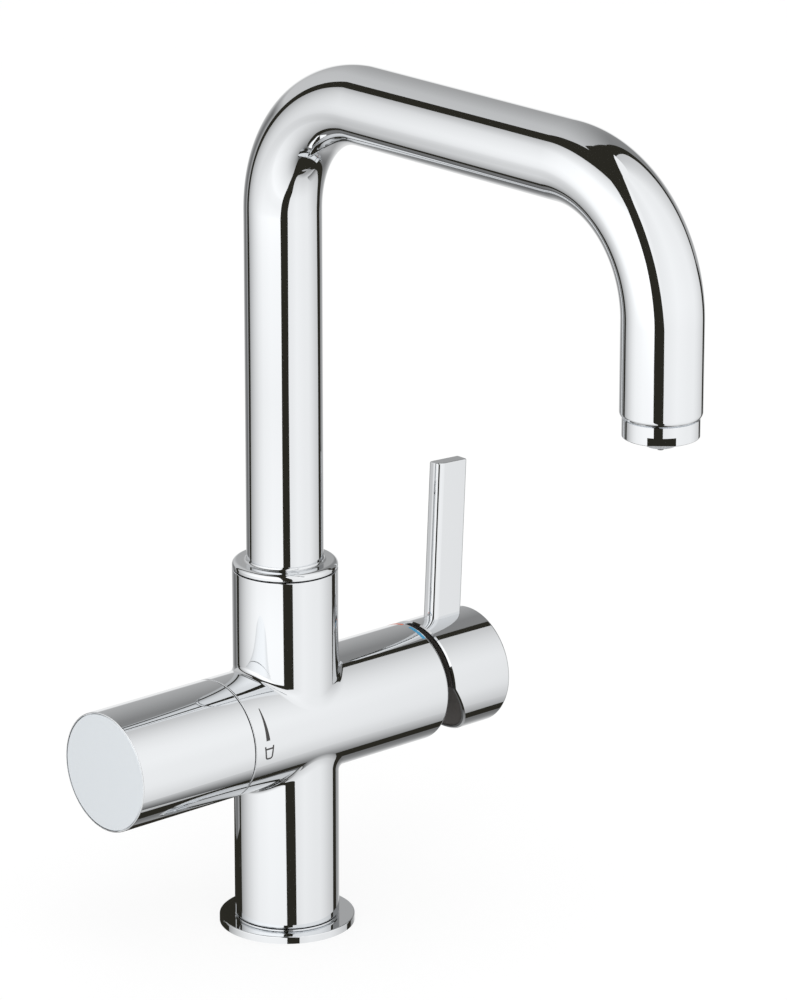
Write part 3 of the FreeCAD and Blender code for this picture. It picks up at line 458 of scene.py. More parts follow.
def crossBodyPatches():
    # collar, with the stop screw's hole and the spout's socket
    turn, upperSeam, patches = junctionPatches(1)
    band, middle, window = crossBody["stopBand"] * mm, crossBody["stopHeight"] * mm, crossBody["stopWindow"]
    levels = np.linspace(middle + band, middle - band, 2 * window + 1)
    edge, top = crossBody["collarEdge"], bodyHigh[2] / mm - crossBody["ringGap"]
    rows = ((top - edge) * mm, *levels, upperSeam)
    heights = np.stack([np.broadcast_to(row, turn.shape) for row in rows])
    keep = np.ones((len(heights) - 1, len(turn) - 1), bool)
    rear = int(np.argmin(np.abs(turn - quarter)))
    columns = np.arange(rear - window, rear + window + 1)
    keep[1:len(levels), columns[0]:columns[-1]] = False
    patches.append((*onColumn(np.broadcast_to(turn, heights.shape), heights), keep))
    patches += stopHolePatches(turn, levels, columns)
    floor, socket = crossBody["socketFloor"], crossBody["socketRadius"]
    corners = [(columnWide, top - edge), (columnWide, top), (socket, top), (socket, floor), (0, floor)]
    patches += turnedPatches(corners, {1: edge}, columnStand, turn)

    # lower column, with the cavity for the hoses
    turn, lowerSeam, junction = junctionPatches(-1)
    edge, foot, tip = crossBody["footEdge"], flangeHigh[2] / mm + crossBody["footGap"], bodyLow[2] / mm
    heights = np.stack([lowerSeam, np.full_like(turn, (foot + edge) * mm)])
    patches += [*junction, (*onColumn(np.broadcast_to(turn, heights.shape), heights), None)]
    spigot, cavity, cavityTop = (crossBody[key] for key in ("spigotRadius", "cavityRadius", "cavityTop"))
    corners = [(0, cavityTop), (cavity, cavityTop), (cavity, tip), (spigot, tip), (spigot, foot)]
    corners += [(columnWide, foot), (columnWide, foot + edge)]
    patches += turnedPatches(corners, {5: edge * nearlyFull}, columnStand, turn)

    # both ends of the barrel with their stepped bores
    halfTurn = np.linspace(0, np.pi, crossBody["halfTurnSteps"] + 1)
    around = np.concatenate([-halfTurn[::-1], halfTurn[1:]])
    leverEdge, knobEdge = crossBody["barrelEdges"]
    for end, bores, stand, edge in (
        (bodyHigh[0], crossBody["leverBore"], leverStand, leverEdge),
        (-bodyLow[0], crossBody["knobBore"], knobStand, knobEdge),
    ):
        depth = end / mm
        corners = [(barrelWide, crossBody["boxHalf"]), (barrelWide, depth)]
        for radius, reach in bores:
            corners += [(radius, depth), (radius, reach)]
            depth = reach
        patches += turnedPatches([*corners, (0, depth)], {1: edge}, stand, around)
    return patches


addPiece("crossBody", crossBodyPatches(), "base", ["valve_body"], "chrome")


# Foot plate, spout ring, outlet ring and nozzle: turned pieces

footPlate = {
    "edge": 0.45,
    "hubEdge": 0.25,
    "bore": 17.5,
    "recess": 18.95,
    "lip": 1.5,
    "rim": 3.15,
    "groove": (23.7, 26.5, 1.8),  # inner and outer radius and depth of the seal's groove
}


def footPlatePatches():
    # turned: seal's groove below, thin rim, low hub, then the recess for the column's spigot
    wide, tall, rim = flangeHigh[0] / mm, flangeHigh[2] / mm, footPlate["rim"]
    inner, outer, depth = footPlate["groove"]
    bore, recess, lip = footPlate["bore"], footPlate["recess"], footPlate["lip"]
    corners = [(bore, 0), (inner, 0), (inner, depth), (outer, depth), (outer, 0), (wide, 0), (wide, rim)]
    corners += [(columnWide, rim), (columnWide, tall), (recess, tall), (recess, lip), (bore, lip)]
    corners.append(corners[0])
    rounding = {6: footPlate["edge"], 8: footPlate["hubEdge"]}
    return turnedPatches(corners, rounding, columnStand, fullTurn(turnSteps))


addPiece("footPlate", footPlatePatches(), "base", ["base_flange"], "chrome")

spoutRing = {"topEdge": 2.0, "bottomEdge": 0.4, "bore": 16.05, "rootFillet": 1.2}


def spoutRingPatches():
    # turned: a plain ring with a small fillet up to the tube
    bottom, top = ringLow[2] / mm, ringHigh[2] / mm
    bore, root = spoutRing["bore"], spoutRing["rootFillet"]
    corners = [(bore, bottom), (columnWide, bottom), (columnWide, top), (bore, top), (bore, top + root)]
    rounding = {1: spoutRing["bottomEdge"], 2: spoutRing["topEdge"], 3: root * nearlyFull}
    around = fullTurn(turnSteps)
    wall = turnedPatches([(bore, top + root), (bore, bottom)], {}, columnStand, around)
    return turnedPatches(corners, rounding, columnStand, around) + wall


addPiece("spoutRing", spoutRingPatches(), "spout", ["spout_ring"], "chrome")

outletRing = {
    "edge": 0.5,
    "edgeSteps": 8,
    "wider": 0.3,  # than its solid, in radius
    "lower": 0.6,  # than its solid
    "collarTop": 271.55,
    "mouth": 10.3,
    "bore": 11.5,
    "thread": 12.95,
    "lip": 1.8,
    "flatWidth": 10.9,  # two flats for a spanner
    "flatHeight": 3.4,
    "flatTurn": -133.0,  # degrees, direction that the first flat faces
    "steps": [24, 72, 24, 72],  # round each flat and each arc between them
}


def outletRingPatches():
    # The ring is turned, and below the flats' height its radius stops at each flat: there the radius
    # is the flat's distance over the cosine of the angle from the flat's middle.
    reach, top = outletHigh[0] + outletRing["wider"] * mm, outletHigh[2] / mm
    bottom = outletLow[2] / mm - outletRing["lower"]
    lip, shelf = bottom + outletRing["lip"], bottom + outletRing["flatHeight"]
    wide, edge, collarTop = reach / mm, outletRing["edge"], outletRing["collarTop"]
    thread, bore, mouth = outletRing["thread"], outletRing["bore"], outletRing["mouth"]
    half = np.arcsin(outletRing["flatWidth"] * mm / 2 / reach)
    ends = np.array([-half, half, np.pi - half, np.pi + half, 2 * np.pi - half])
    angles, places = turnWithStops(outletRing["flatTurn"] * deg + ends, outletRing["steps"])
    upper = [(wide, shelf), (wide, collarTop), (thread, collarTop), (thread, top)]
    upper += [(bore, top), (bore, lip), (mouth, lip), (mouth, bottom)]
    patches = turnedPatches(upper, {}, outletStand, angles)
    for i in range(4):
        turn = angles[places[i]:places[i + 1] + 1]
        ray = turning(turn, xAxis, yAxis)
        radius, facing = np.full_like(turn, reach), ray
        flat = i % 2 == 0
        if flat:
            middle = (turn[0] + turn[-1]) / 2
            radius = reach * np.cos(half) / np.cos(turn - middle)
            facing = np.broadcast_to(turning(middle, xAxis, yAxis), ray.shape)
        wall = outletCentre + radius[:, None] * ray
        high, low = wall + shelf * mm * zAxis, wall + (bottom + edge) * mm * zAxis
        rounded = edgeArc(low, facing, -zAxis, edge * mm, outletRing["edgeSteps"])
        inner = outletCentre + mouth * mm * ray + bottom * mm * zAxis
        patches += [strip(high, low, facing), rounded, strip(rounded[0][-1], inner, -zAxis)]
        if flat:
            patches.append(strip(outletCentre + reach * ray + shelf * mm * zAxis, high, -zAxis))
    return patches


addPiece("outletRing", outletRingPatches(), "spout", ["aerator_housing"], "chrome")

nozzle = {
    "cone": 1.4,
    "tipRadius": 1.4,
    "bore": 0.7,
    "round": 0.4,
    "socketRadius": 4.05,
    "socketFloor": 281.0,
    "lip": (1.2, 0.45),  # radius and height of the dark lip round the jet, painted shade for the jet's opening, which lies in shade
    "wider": 0.9,  # than its solid, in radius
    "lower": 0.8,  # besides what lowers the outlet ring
    "shadeRingSteps": 64,
    "steps": 96,
}
nozzleBottom = nozzleLow[2] / mm - outletRing["lower"] - nozzle["lower"]
shadeRingTop = nozzleBottom + nozzle["lip"][1]


def jetShadeRingPatches():
    # turned: a short dark tube round the jet, painted shade that stands for the shade in the jet's opening
    radius, bore = nozzle["lip"][0], nozzle["bore"]
    corners = [(bore, nozzleBottom), (radius, nozzleBottom), (radius, shadeRingTop), (bore, shadeRingTop)]
    corners.append(corners[0])
    return turnedPatches(corners, {}, outletStand, fullTurn(nozzle["shadeRingSteps"]))


# painted shade: a dark ring at the jet, where its opening lies in shade
addPiece("jetShadeRing", jetShadeRingPatches(), "spout", [], "dark_plastic")


def nozzlePatches():
    # turned: a blunt cone with the jet's bore and a socket for the pipe
    wide, top = nozzleHigh[0] / mm + nozzle["wider"], nozzleHigh[2] / mm
    bore, socket, floor = nozzle["bore"], nozzle["socketRadius"], nozzle["socketFloor"]
    corners = [(bore, shadeRingTop), (nozzle["tipRadius"], shadeRingTop), (wide, shadeRingTop + nozzle["cone"]), (wide, top)]
    corners += [(socket, top), (socket, floor), (bore, floor), (bore, shadeRingTop)]
    rounding = {1: nozzle["round"], 2: nozzle["round"]}
    return turnedPatches(corners, rounding, outletStand, fullTurn(nozzle["steps"]))


addPiece("filterNozzle", nozzlePatches(), "spout", ["filter_nozzle"], "nozzle_plastic")


# Spout: one tube bent twice

spoutTube = {
    "bend": 52.0,
    "wall": 1.5,
    "outlet": 271.55,
    "endSlant": 1.2,  # mm that the end face falls back from the bore to the outside
    "endRound": 2.9,
    "bendSteps": 72,
    "around": 192,
}


def spoutFrame(distance):
    # The middle line is a point that circles a pivot at the bend radius: the pivot slides along the
    # straight runs while the arm stands still, and rests while the arm turns a quarter.
    bend, outlet = spoutTube["bend"] * mm, spoutTube["outlet"] * mm
    reach = -tubeLow[1] - tubeRadius
    bendHeight = tubeHigh[2] - tubeRadius - bend
    arc = bend * quarter
    places = np.cumsum([0, bendHeight - tubeLow[2], arc, reach - 2 * bend, arc, bendHeight - outlet])
    arm = np.interp(distance, places, np.array([0, 0, 1, 1, 2, 2]) * quarter)
    pivotY = np.interp(distance, places, [-bend] * 3 + [bend - reach] * 3)
    pivotZ = np.interp(distance, places, [tubeLow[2], *[bendHeight] * 4, outlet])
    swing = turning(arm, yAxis, zAxis)
    centre = pivotY[:, None] * yAxis + pivotZ[:, None] * zAxis + bend * swing
    return centre, turning(arm, zAxis, -yAxis), swing, places


def spoutPatches():
    # a ring carried along the middle line: out along the tube, round its lip, back along the bore
    places = spoutFrame(np.zeros(1))[3]
    end = places[-1] / mm
    outer, bore = tubeRadius / mm, tubeRadius / mm - spoutTube["wall"]
    corners = [(bore, 0), (outer, 0), (outer, end - spoutTube["endSlant"]), (bore, end), (bore, 0)]
    angles = fullTurn(spoutTube["around"])
    patches = []
    for outline, normal in outlineRuns(corners, {2: spoutTube["endRound"]}):
        distance = outline[:, 1]
        if np.ptp(distance) > places[1]:
            bends = [np.linspace(places[i], places[i + 1], spoutTube["bendSteps"] + 1) for i in (1, 3)]
            distance = np.concatenate([[distance.min()], *bends, [distance.max()]])
            outline = np.stack([np.full_like(distance, outline[0, 0]), distance], axis=1)
            normal = np.broadcast_to(normal[0], outline.shape)
        centre, along, swing = spoutFrame(distance)[:3]
        ray = turning(angles, xAxis, swing[:, None, :])
        grid = centre[:, None, :] + outline[:, 0, None, None] * ray
        facing = normal[:, 1, None, None] * along[:, None, :] + normal[:, 0, None, None] * ray
        patches.append((grid, facing, None))
    return patches


addPiece("spoutTube", spoutPatches(), "spout", ["spout_tube"], "chrome")


# Filtered water knob: shell and end disc, turned about the barrel's axis

knobShell = {
    "edge": 0.4,
    "bore": 23.0,
    "recess": (24.7, 94.9),  # radius and depth in x of the seat for the end disc
    "web": (53.25, 57.25),
    "hub": (12.05, 62.85),
    "sleeve": (9.05, 60.35),
    "screwHole": 2.2,
}


def knobShellPatches():
    # turned: a shell with a web and a hub inside, open towards the barrel
    near, far = -knobHigh[0] / mm, -knobLow[0] / mm
    bore, web, hub = knobShell["bore"], knobShell["web"], knobShell["hub"]
    sleeve, recess, hole = knobShell["sleeve"], knobShell["recess"], knobShell["screwHole"]
    corners = [(sleeve[0], web[0]), (bore, web[0]), (bore, near), (barrelWide, near), (barrelWide, far)]
    corners += [(recess[0], far), recess, (bore, recess[1]), (bore, web[1]), (hub[0], web[1]), hub]
    corners += [(hole, hub[1]), (hole, sleeve[1]), sleeve, (sleeve[0], web[0])]
    rounding = {3: knobShell["edge"], 4: knobShell["edge"]}
    return turnedPatches(corners, rounding, knobStand, fullTurn(turnSteps))


addPiece("knobShell", knobShellPatches(), "filter_knob", ["knob_shell"], "chrome")

endDisc = {"radius": 24.45, "chamfer": 0.25, "skirt": (21.9, 22.9), "skirtLength": 4.0}


def endDiscPatches():
    # turned: a flat disc with a skirt that grips the shell's bore
    back, front = knobShell["recess"][1], -knobLow[0] / mm
    wide, cut = endDisc["radius"], endDisc["chamfer"]
    inner, outer = endDisc["skirt"]
    skirt = back - endDisc["skirtLength"]
    corners = [(0, back), (inner, back), (inner, skirt), (outer, skirt), (outer, back), (wide, back)]
    corners += [(wide, front - cut), (wide - cut, front), (0, front)]
    return turnedPatches(corners, {}, knobStand, fullTurn(turnSteps))


addPiece("knobEndDisc", endDiscPatches(), "filter_knob", ["knob_end_disc"], "satin_chrome")


# Lever: round cap with a bent inner face, upright bar and a flush plug at the back

leverCap = {
    "edge": 1.0,
    "rimEdge": 0.6,
    "cutAngle": 30.0,
    "bendAbove": 2.0,  # height of the bend above the axis
    "seatRadius": 23.8,
    "seatDepth": 2.4,
    "plugX": 93.0,
    "plugRadius": 2.5,
    "plugGap": 0.05,
    "plugDepth": 3.0,
    "windowTurn": 12.0,  # degrees each side of the plug
    "windowHalf": 4.3,
    "windowSteps": 10,
    "turnStep": 2.4,  # degrees
    "fewestSteps": 4,  # between two stops
}


def capInnerX(height):
    # the cap's inner face: upright above the bend, leaning outwards below it
    below = np.maximum(barrelHeight + leverCap["bendAbove"] * mm - height, 0)
    return capLow[0] + below * np.tan(leverCap["cutAngle"] * deg)


def capAngles():
    # angles round the cap, with one at each end of the plug's window and of the bend
    bend = np.arcsin(leverCap["bendAbove"] * mm / barrelRadius)
    window, step = leverCap["windowTurn"] * deg, leverCap["turnStep"] * deg
    stops = [-window, bend, window, np.pi - bend, 2 * np.pi - window]
    return turnWithStops(
        stops, [max(leverCap["fewestSteps"], round(float(b - a) / step)) for a, b in zip(stops, stops[1:])]
    )


def leverCapPatches():
    # the barrel's cylinder again, from the bent inner face to the end, with a window for the plug
    angles, places = capAngles()
    facing = turning(angles, yAxis, zAxis)
    heights = barrelHeight + barrelRadius * np.sin(angles)
    rim, seat, seatDepth = (leverCap[key] * mm for key in ("rimEdge", "seatRadius", "seatDepth"))
    plugX, windowHalf = leverCap["plugX"] * mm, leverCap["windowHalf"] * mm
    levels = plugX + np.linspace(-1, 1, leverCap["windowSteps"] + 1) * windowHalf
    endX = capHigh[0] - leverCap["edge"] * mm
    x = np.stack([np.broadcast_to(row, angles.shape) for row in (capInnerX(heights) + rim, *levels, endX)])
    keep = np.ones((len(x) - 1, len(angles) - 1), bool)
    keep[1:len(levels), :places[2]] = False
    patches = [(*onBarrel(x, np.broadcast_to(angles, x.shape)), keep)]

    # plug hole at the back
    border = boxBoundary(levels, angles[:places[2] + 1])
    spin = np.arctan2(border[:, 1] / leverCap["windowTurn"] / deg, (border[:, 0] - plugX) / windowHalf)
    radius = (leverCap["plugRadius"] + leverCap["plugGap"]) * mm
    turnAt = np.arcsin(radius * np.sin(spin) / barrelRadius)
    mouth = np.stack([plugX + radius * np.cos(spin), turnAt], axis=1)
    sink = leverCap["plugDepth"] * mm * yAxis
    patches += blindHole(onBarrel, mouth, border, spin, lambda row: row - sink, (plugX, barrelHeight))

    # rim face in two flats, seat for the plate and the wall behind it
    upper = np.arange(places[1], places[3] + 1)
    lower = np.concatenate([np.arange(places[3], len(angles)), np.arange(1, places[1] + 1)])
    for columns, flat in ((upper, -xAxis), (lower, -turning(leverCap["cutAngle"] * deg, xAxis, zAxis))):
        ray, skinX = facing[columns], capInnerX(heights[columns])
        edge = barrelCentre + (skinX + rim)[:, None] * xAxis + barrelRadius * ray
        bevelX = capInnerX(barrelHeight + (barrelRadius - rim) * ray[:, 2])
        bevel = barrelCentre + bevelX[:, None] * xAxis + (barrelRadius - rim) * ray
        lip = barrelCentre + capInnerX(barrelHeight + seat * ray[:, 2])[:, None] * xAxis + seat * ray
        back = lip + seatDepth * xAxis
        tip = np.broadcast_to(barrelCentre + (capInnerX(barrelHeight) + seatDepth) * xAxis, back.shape)
        corner = (ray + flat) / np.linalg.norm(ray + flat, axis=1)[:, None]
        patches += [strip(edge, bevel, corner), strip(bevel, lip, flat)]
        patches += [strip(lip, back, -ray), strip(back, tip, flat)]

    corners = [(barrelWide, endX / mm), (barrelWide, capHigh[0] / mm), (0, capHigh[0] / mm)]
    return patches + turnedPatches(corners, {1: leverCap["edge"]}, leverStand, angles)


addPiece("leverCap", leverCapPatches(), "lever", ["lever_cap"], "chrome")

accessPlug = {"around": 64, "steps": 6}


def accessPlugPatches():
    # a short round plug whose outer face follows the cap's curve
    spin = fullTurn(accessPlug["around"])
    plugX = leverCap["plugX"] * mm
    radii = np.linspace(0, 1, accessPlug["steps"] + 1)[:, None] * leverCap["plugRadius"] * mm
    cover, normal = onBarrel(plugX + radii * np.cos(spin), np.arcsin(radii * np.sin(spin) / barrelRadius))
    rim = cover[-1]
    depth = barrelRadius - (leverCap["plugDepth"] - leverCap["plugGap"]) * mm
    floor = rim * (1 - yAxis) + depth * yAxis
    middle = np.broadcast_to([plugX, depth, barrelHeight], floor.shape)
    wall = strip(rim, floor, turning(spin, xAxis, zAxis))
    return [(cover, normal, None), wall, strip(floor, middle, -yAxis)]


addPiece("accessPlug", accessPlugPatches(), "lever", ["access_plug"], "chrome")

leverBar = {
    "width": 16.3,
    "thickness": 6.1,
    "round": 1.0,
    "frontRound": 3.6,  # front edge on the user's left
    "topRound": 0.6,
    "topSteps": 6,
    "lean": 2.8,  # degrees outwards
    "fromCapEdge": 15.2,
    "rise": 68.7,  # above the top of the cap
}


def leverBarPatches():
    # A rounded rectangle carried up the leaning axis. Its foot follows the cap's cylinder, and its top
    # edge is a quarter arc that draws the outline in while it climbs.
    lean = leverBar["lean"] * deg
    up, wideways = turning(lean, zAxis, xAxis), turning(lean, xAxis, -zAxis)
    foot = barrelCentre + (capLow[0] + leverBar["fromCapEdge"] * mm) * xAxis + barrelRadius * zAxis
    halfX, halfY = leverBar["width"] / 2, leverBar["thickness"] / 2
    corners = [(0, -halfY), (halfX, -halfY), (halfX, halfY), (-halfX, halfY), (-halfX, -halfY), (0, -halfY)]
    rounding = {1: leverBar["round"], 2: leverBar["round"], 3: leverBar["round"], 4: leverBar["frontRound"]}
    top = leverBar["rise"] * mm / np.cos(lean)
    edge = leverBar["topRound"] * mm
    patches = []
    for outline, normal in outlineRuns(corners, rounding):
        across, deep = outline[:, 0, None], outline[:, 1, None]
        side = normal[:, 0, None] * wideways + normal[:, 1, None] * yAxis
        ring = foot + across * wideways + deep * yAxis
        sag = np.sqrt(barrelRadius ** 2 - deep ** 2) - barrelRadius
        drop = (sag + across * np.sin(lean)) / np.cos(lean)
        low, high = ring + drop * up, ring + (top - edge) * up
        rounded = edgeArc(high, side, up, edge, leverBar["topSteps"])
        lid, base = np.broadcast_to(foot + top * up, ring.shape), np.broadcast_to(foot, ring.shape)
        patches += [strip(low, high, side), rounded, strip(rounded[0][-1], lid, up), strip(low, base, -up)]
    return patches


addPiece("leverBar", leverBarPatches(), "lever", ["lever_bar"], "chrome")


# Printed marks on the barrel, thin closed films of ink

inkMarks = {
    "thickness": 0.03,
    "sunk": 0.02,
    "wedgeX": -30.7,
    "wedgeTurn": (41.6, 9.7),  # degrees above the front, thin end first
    "wedgeWidth": (0.4, 2.0),
    "cupTop": (-32.5, -28.2, 4.5),  # left, right and degrees above the front
    "cupBottom": (-32.0, -29.0, -8.0),
    "cupLine": 0.7,
    "cupRound": 1.0,  # of the line's lower bends
    "cupSteps": 8,  # along each straight side
    "waterShare": 0.22,  # place of the water line between top and bottom
    "arcX": 67.2,
    "arcWidth": 1.5,
    "coldTurn": (94.9, 117.2),  # degrees from the back over the top
    "hotTurn": (85.1, 62.8),
    "strokeSteps": 24,
}
acrossLine = np.array([-0.5, 0.5])  # both edges of a line, in its widths


def inkFilm(x, angle):
    # A thin film on the barrel over a grid of places: an outer face, an inner face and four edges.
    skin, facing = onBarrel(x, angle)
    outer = skin + inkMarks["thickness"] * mm * facing
    inner = skin - inkMarks["sunk"] * mm * facing
    patches = [(outer, facing, None), (inner, -facing, None)]
    edges = [np.s_[0], np.s_[-1], np.s_[:, 0], np.s_[:, -1]]
    inside = [np.s_[1], np.s_[-2], np.s_[:, 1], np.s_[:, -2]]
    for line, opposite in zip(edges, inside):
        away = outer[line] - outer[opposite]
        away = away / np.linalg.norm(away, axis=-1)[:, None]
        patches.append(strip(outer[line], inner[line], away))
    return patches


def strokeFilm(startX, startTurn, endX, endTurn, width):
    # a straight stroke between two places of the unrolled barrel, with square ends
    share = np.linspace(0, 1, inkMarks["strokeSteps"] + 1)[:, None]
    begin = np.array([startX * mm, startTurn * deg * barrelRadius])
    finish = np.array([endX * mm, endTurn * deg * barrelRadius])
    along = (finish - begin) / np.linalg.norm(finish - begin)
    sideways = np.array([-along[1], along[0]])
    offset = acrossLine * np.interp(share, [0, 1], np.broadcast_to(width, 2)) * mm
    flat = (begin + share * (finish - begin))[:, None, :] + offset[..., None] * sideways
    return inkFilm(flat[..., 0], flat[..., 1] / barrelRadius)


def frontTurn(above):
    # degrees above the front as the angle from the back over the top
    return 180 - above


wedgeX, (wedgeStart, wedgeEnd) = inkMarks["wedgeX"], map(frontTurn, inkMarks["wedgeTurn"])
wedgePatches = strokeFilm(wedgeX, wedgeStart, wedgeX, wedgeEnd, inkMarks["wedgeWidth"])
addPiece("flowWedgeMark", wedgePatches, "base", [], "dark_plastic", "darkInk")


def cupMarkPatches():
    # a line of even width down one side of the tumbler, along its bottom and up the other side
    left, right, top = inkMarks["cupTop"]
    lowLeft, lowRight, bottom = inkMarks["cupBottom"]
    full, line = inkMarks["waterShare"], inkMarks["cupLine"]
    waterLeft, waterRight = left + (lowLeft - left) * full, right + (lowRight - right) * full
    water = frontTurn(top + (bottom - top) * full)
    perDegree = barrelWide * deg  # mm of skin
    high, low = frontTurn(top) * perDegree, frontTurn(bottom) * perDegree
    wall = [(left, high), (lowLeft, low), (lowRight, low), (right, high)]
    share = np.linspace(0, 1, inkMarks["cupSteps"] + 1)[:, None]
    middle, sideways = [], []
    for run, side in outlineRuns(wall, {1: inkMarks["cupRound"], 2: inkMarks["cupRound"]}):
        straight = len(run) == 2
        middle.append(run[0] + share * (run[1] - run[0]) if straight else run)
        sideways.append(side[0] + 0 * share if straight else side)
    middle, sideways = np.concatenate(middle)[:, None, :], np.concatenate(sideways)[:, None, :]
    flat = middle + acrossLine[:, None] * line * mm * sideways
    cup = inkFilm(flat[..., 0], flat[..., 1] / barrelRadius)
    return cup + strokeFilm(waterLeft, water, waterRight, water, line)


addPiece("tumblerMark", cupMarkPatches(), "base", [], "dark_plastic", "darkInk")
for name, turn, ink in (("coldMark", "coldTurn", "blueInk"), ("hotMark", "hotTurn", "redInk")):
    (start, end), x = inkMarks[turn], inkMarks["arcX"]
    addPiece(name, strokeFilm(x, start, x, end, inkMarks["arcWidth"]), "base", [], "dark_plastic", ink)


# Studio: white floor, and for the mirrors two lit panels before a black backing, with a slit between them
# towards the camera

paperFloor = {"half": 6.0, "plainShare": 0.75}  # m, and the share of plain white that the camera sees
litPanels = {
    "radius": 650,  # mm from the tap's axis
    "rows": 84,
    "columns": 40,
    # height in mm, then the left and the right edge in degrees from the camera's direction
    "left": [
        (-1600, -93, -30), (-1200, -96, -13), (-924, -101, -4), (-700, -105, 0), (-565, -107, 1),
        (-320, -114, 1), (-220, -118, -1), (-150, -118.5, -3), (-85, -119.5, -4.5), (0, -116, -6),
        (40, -114.5, -6), (110, -115, -6.5), (140, -116.5, -7.2), (200, -119, -7.2), (450, -117.5, -10),
        (650, -114, -14), (800, -110, -16), (920, -105, -19.5), (1030, -95, -23.5), (1130, -80, -28.5),
        (1200, -60, -32), (1220, -45, -45),
    ],
    "right": [
        (-1600, 75, 80), (-1340, 60, 94), (-1200, 44, 97.5), (-1120, 32, 100), (-1000, 24, 105),
        (-855, 20, 113), (-600, 19, 119), (-320, 21, 121), (-220, 20, 121.5), (-150, 17.5, 121.5),
        (50, 14, 120), (160, 14.3, 116), (300, 11, 110), (400, 9, 112), (600, 6, 120), (800, 3.7, 126),
        (1000, 2, 129), (1200, 2.5, 130), (2600, 8, 132),
    ],
    "span": (-135, 155),  # degrees that the levels across run over
    "across": [
        (-118, 0.40), (-105, 0.63), (-92, 0.82), (-76, 1.0), (-62, 1.1), (-36, 1.15), (-5, 1.14),
        (15, 0.94), (26, 0.97), (39, 1.02), (62, 0.98), (77, 0.97), (88, 0.9), (105, 0.76),
        (118, 0.66), (132, 0.6),
    ],
    "heights": (-1600, 2600),
    "leftLevels": [
        (-1600, 0.2), (-1200, 0.4), (-800, 0.6), (-500, 0.8), (-300, 0.92), (-180, 1.0), (-85, 1.06),
        (-38, 0.99), (40, 0.97), (117, 1.03), (160, 1.14), (230, 1.2), (350, 1.22), (700, 1.12),
        (850, 0.95), (1000, 0.85), (1200, 0.7),
    ],
    "rightLevels": [
        (-1600, 0.4), (-1128, 0.45), (-844, 0.78), (-600, 0.85), (-465, 0.9), (-300, 0.97), (-180, 1.03),
        (-78, 1.05), (107, 1.06), (300, 1.1), (700, 1.08), (2600, 1.06),
    ],
    # shade over the low right part, a little nearer than the panels
    "shadeRadius": 645,
    "shade": [(-805, 77, 114), (-712, 79, 116), (-600, 84, 119), (-440, 92, 121)],
    "shadeLevels": [
        (-805, 0.15), (-770, 0.2), (-729, 0.31), (-675, 0.43), (-616, 0.55), (-560, 0.68), (-465, 0.82),
        (-440, 0.86),
    ],
}
backing = {
    "radius": 670,
    "edges": [
        (-1600, -100, 150), (-1166, -107.5, 144), (-954, -113, 140), (-815, -114.5, 138), (-500, -120, 138),
        (-217, -125, 138), (-85, -129.3, 137), (37, -126.5, 137), (100, -127, 137), (300, -128, 118),
        (450, -127, 124), (600, -126.5, 131), (800, -125.5, 137), (1200, -122.5, 143), (1600, -113.5, 150),
        (2600, -95, 150),
    ],
    "colour": "#FFF8DC",
    "level": 0.028,
}
# Upright cards behind the tap: how far behind, then corners to the right of the tap and up
uprightCards = {
    "blackCard": (100, [
        (-10, -500), (-10, 70), (-55, 70), (-70, 10), (-82, -7), (-111, -18), (-165, -45), (-224, -66),
        (-224, -500),
    ]),
    "footCard": (20, [(-35, -30), (-35, 25), (-62, 25), (-62, -30)]),
}
# Level cards that close the studio above and below: height, level, corners to the right of the tap and
# behind it
levelCards = {
    "ceilingGap": (2600, backing["level"], [
        (-720, -720), (110, -720), (200, -250), (270, 0), (330, 250), (420, 480), (560, 780), (640, 1300),
        (300, 950), (-50, 650), (-290, 450), (-480, 385), (-720, 300),
    ]),
    "ceilingCloth": (2600, 1.06, [
        (110, -720), (1000, -720), (1000, 900), (620, 900), (560, 780), (420, 480), (330, 250), (270, 0),
        (200, -250),
    ]),
    "floorGap": (-1600, backing["level"], [
        (-180, -800), (-300, -600), (-350, -480), (-270, -250), (-120, -60), (60, 20), (200, 120),
        (350, 300), (600, 480), (700, 300), (600, -150), (500, -300), (400, -500), (330, -800),
    ]),
    "floorCloth": (-1600, 0.5, [
        (400, -500), (500, -300), (600, -150), (720, -100), (720, -600), (420, -640),
    ]),
    "floorBehind": (-1600, 1.2, [
        (-560, 80), (-700, 180), (-900, 380), (-1100, 520), (-1100, 900), (-300, 900), (-300, 300),
    ]),
}
# Levels of the room round the panels: what they run over, then their stops
surroundings = {
    # by the height of the direction
    "low": ((-1, 1), [
        (-1, 0.3), (-0.87, 0.5), (-0.69, 0.45), (-0.5, 0.75), (-0.05, 1.0), (0.1, 0.95), (1, 0.95),
    ]),
    # by degrees to the right, seen from the camera
    "behind": ((-60, 60), [
        (-60, 0.4), (-50, 0.45), (-46, 0.3), (-41, 0.19), (-35, 0.24), (-27, 0.38), (-15, 0.65), (-8, 0.95),
        (8, 0.95), (20, 0.62), (31, 0.42), (60, 0.42),
    ]),
    # by the share of the direction that points right
    "high": ((-1, 1), [(-1, 0.65), (-0.6, 0.65), (-0.38, 0.62), (0, 0.42), (0.23, 0.27), (1, 0.27)]),
    "horizon": (0.03, 0.12),  # heights between which low passes into high
}


def onStage(name, points, faces, material):
    # a prop of the studio
    mesh = bpy.data.meshes.new(name)
    mesh.from_pydata(points, [], faces)
    mesh.materials.append(material)
    prop = bpy.data.objects.new(name, mesh)
    scene.collection.objects.link(prop)
    return prop


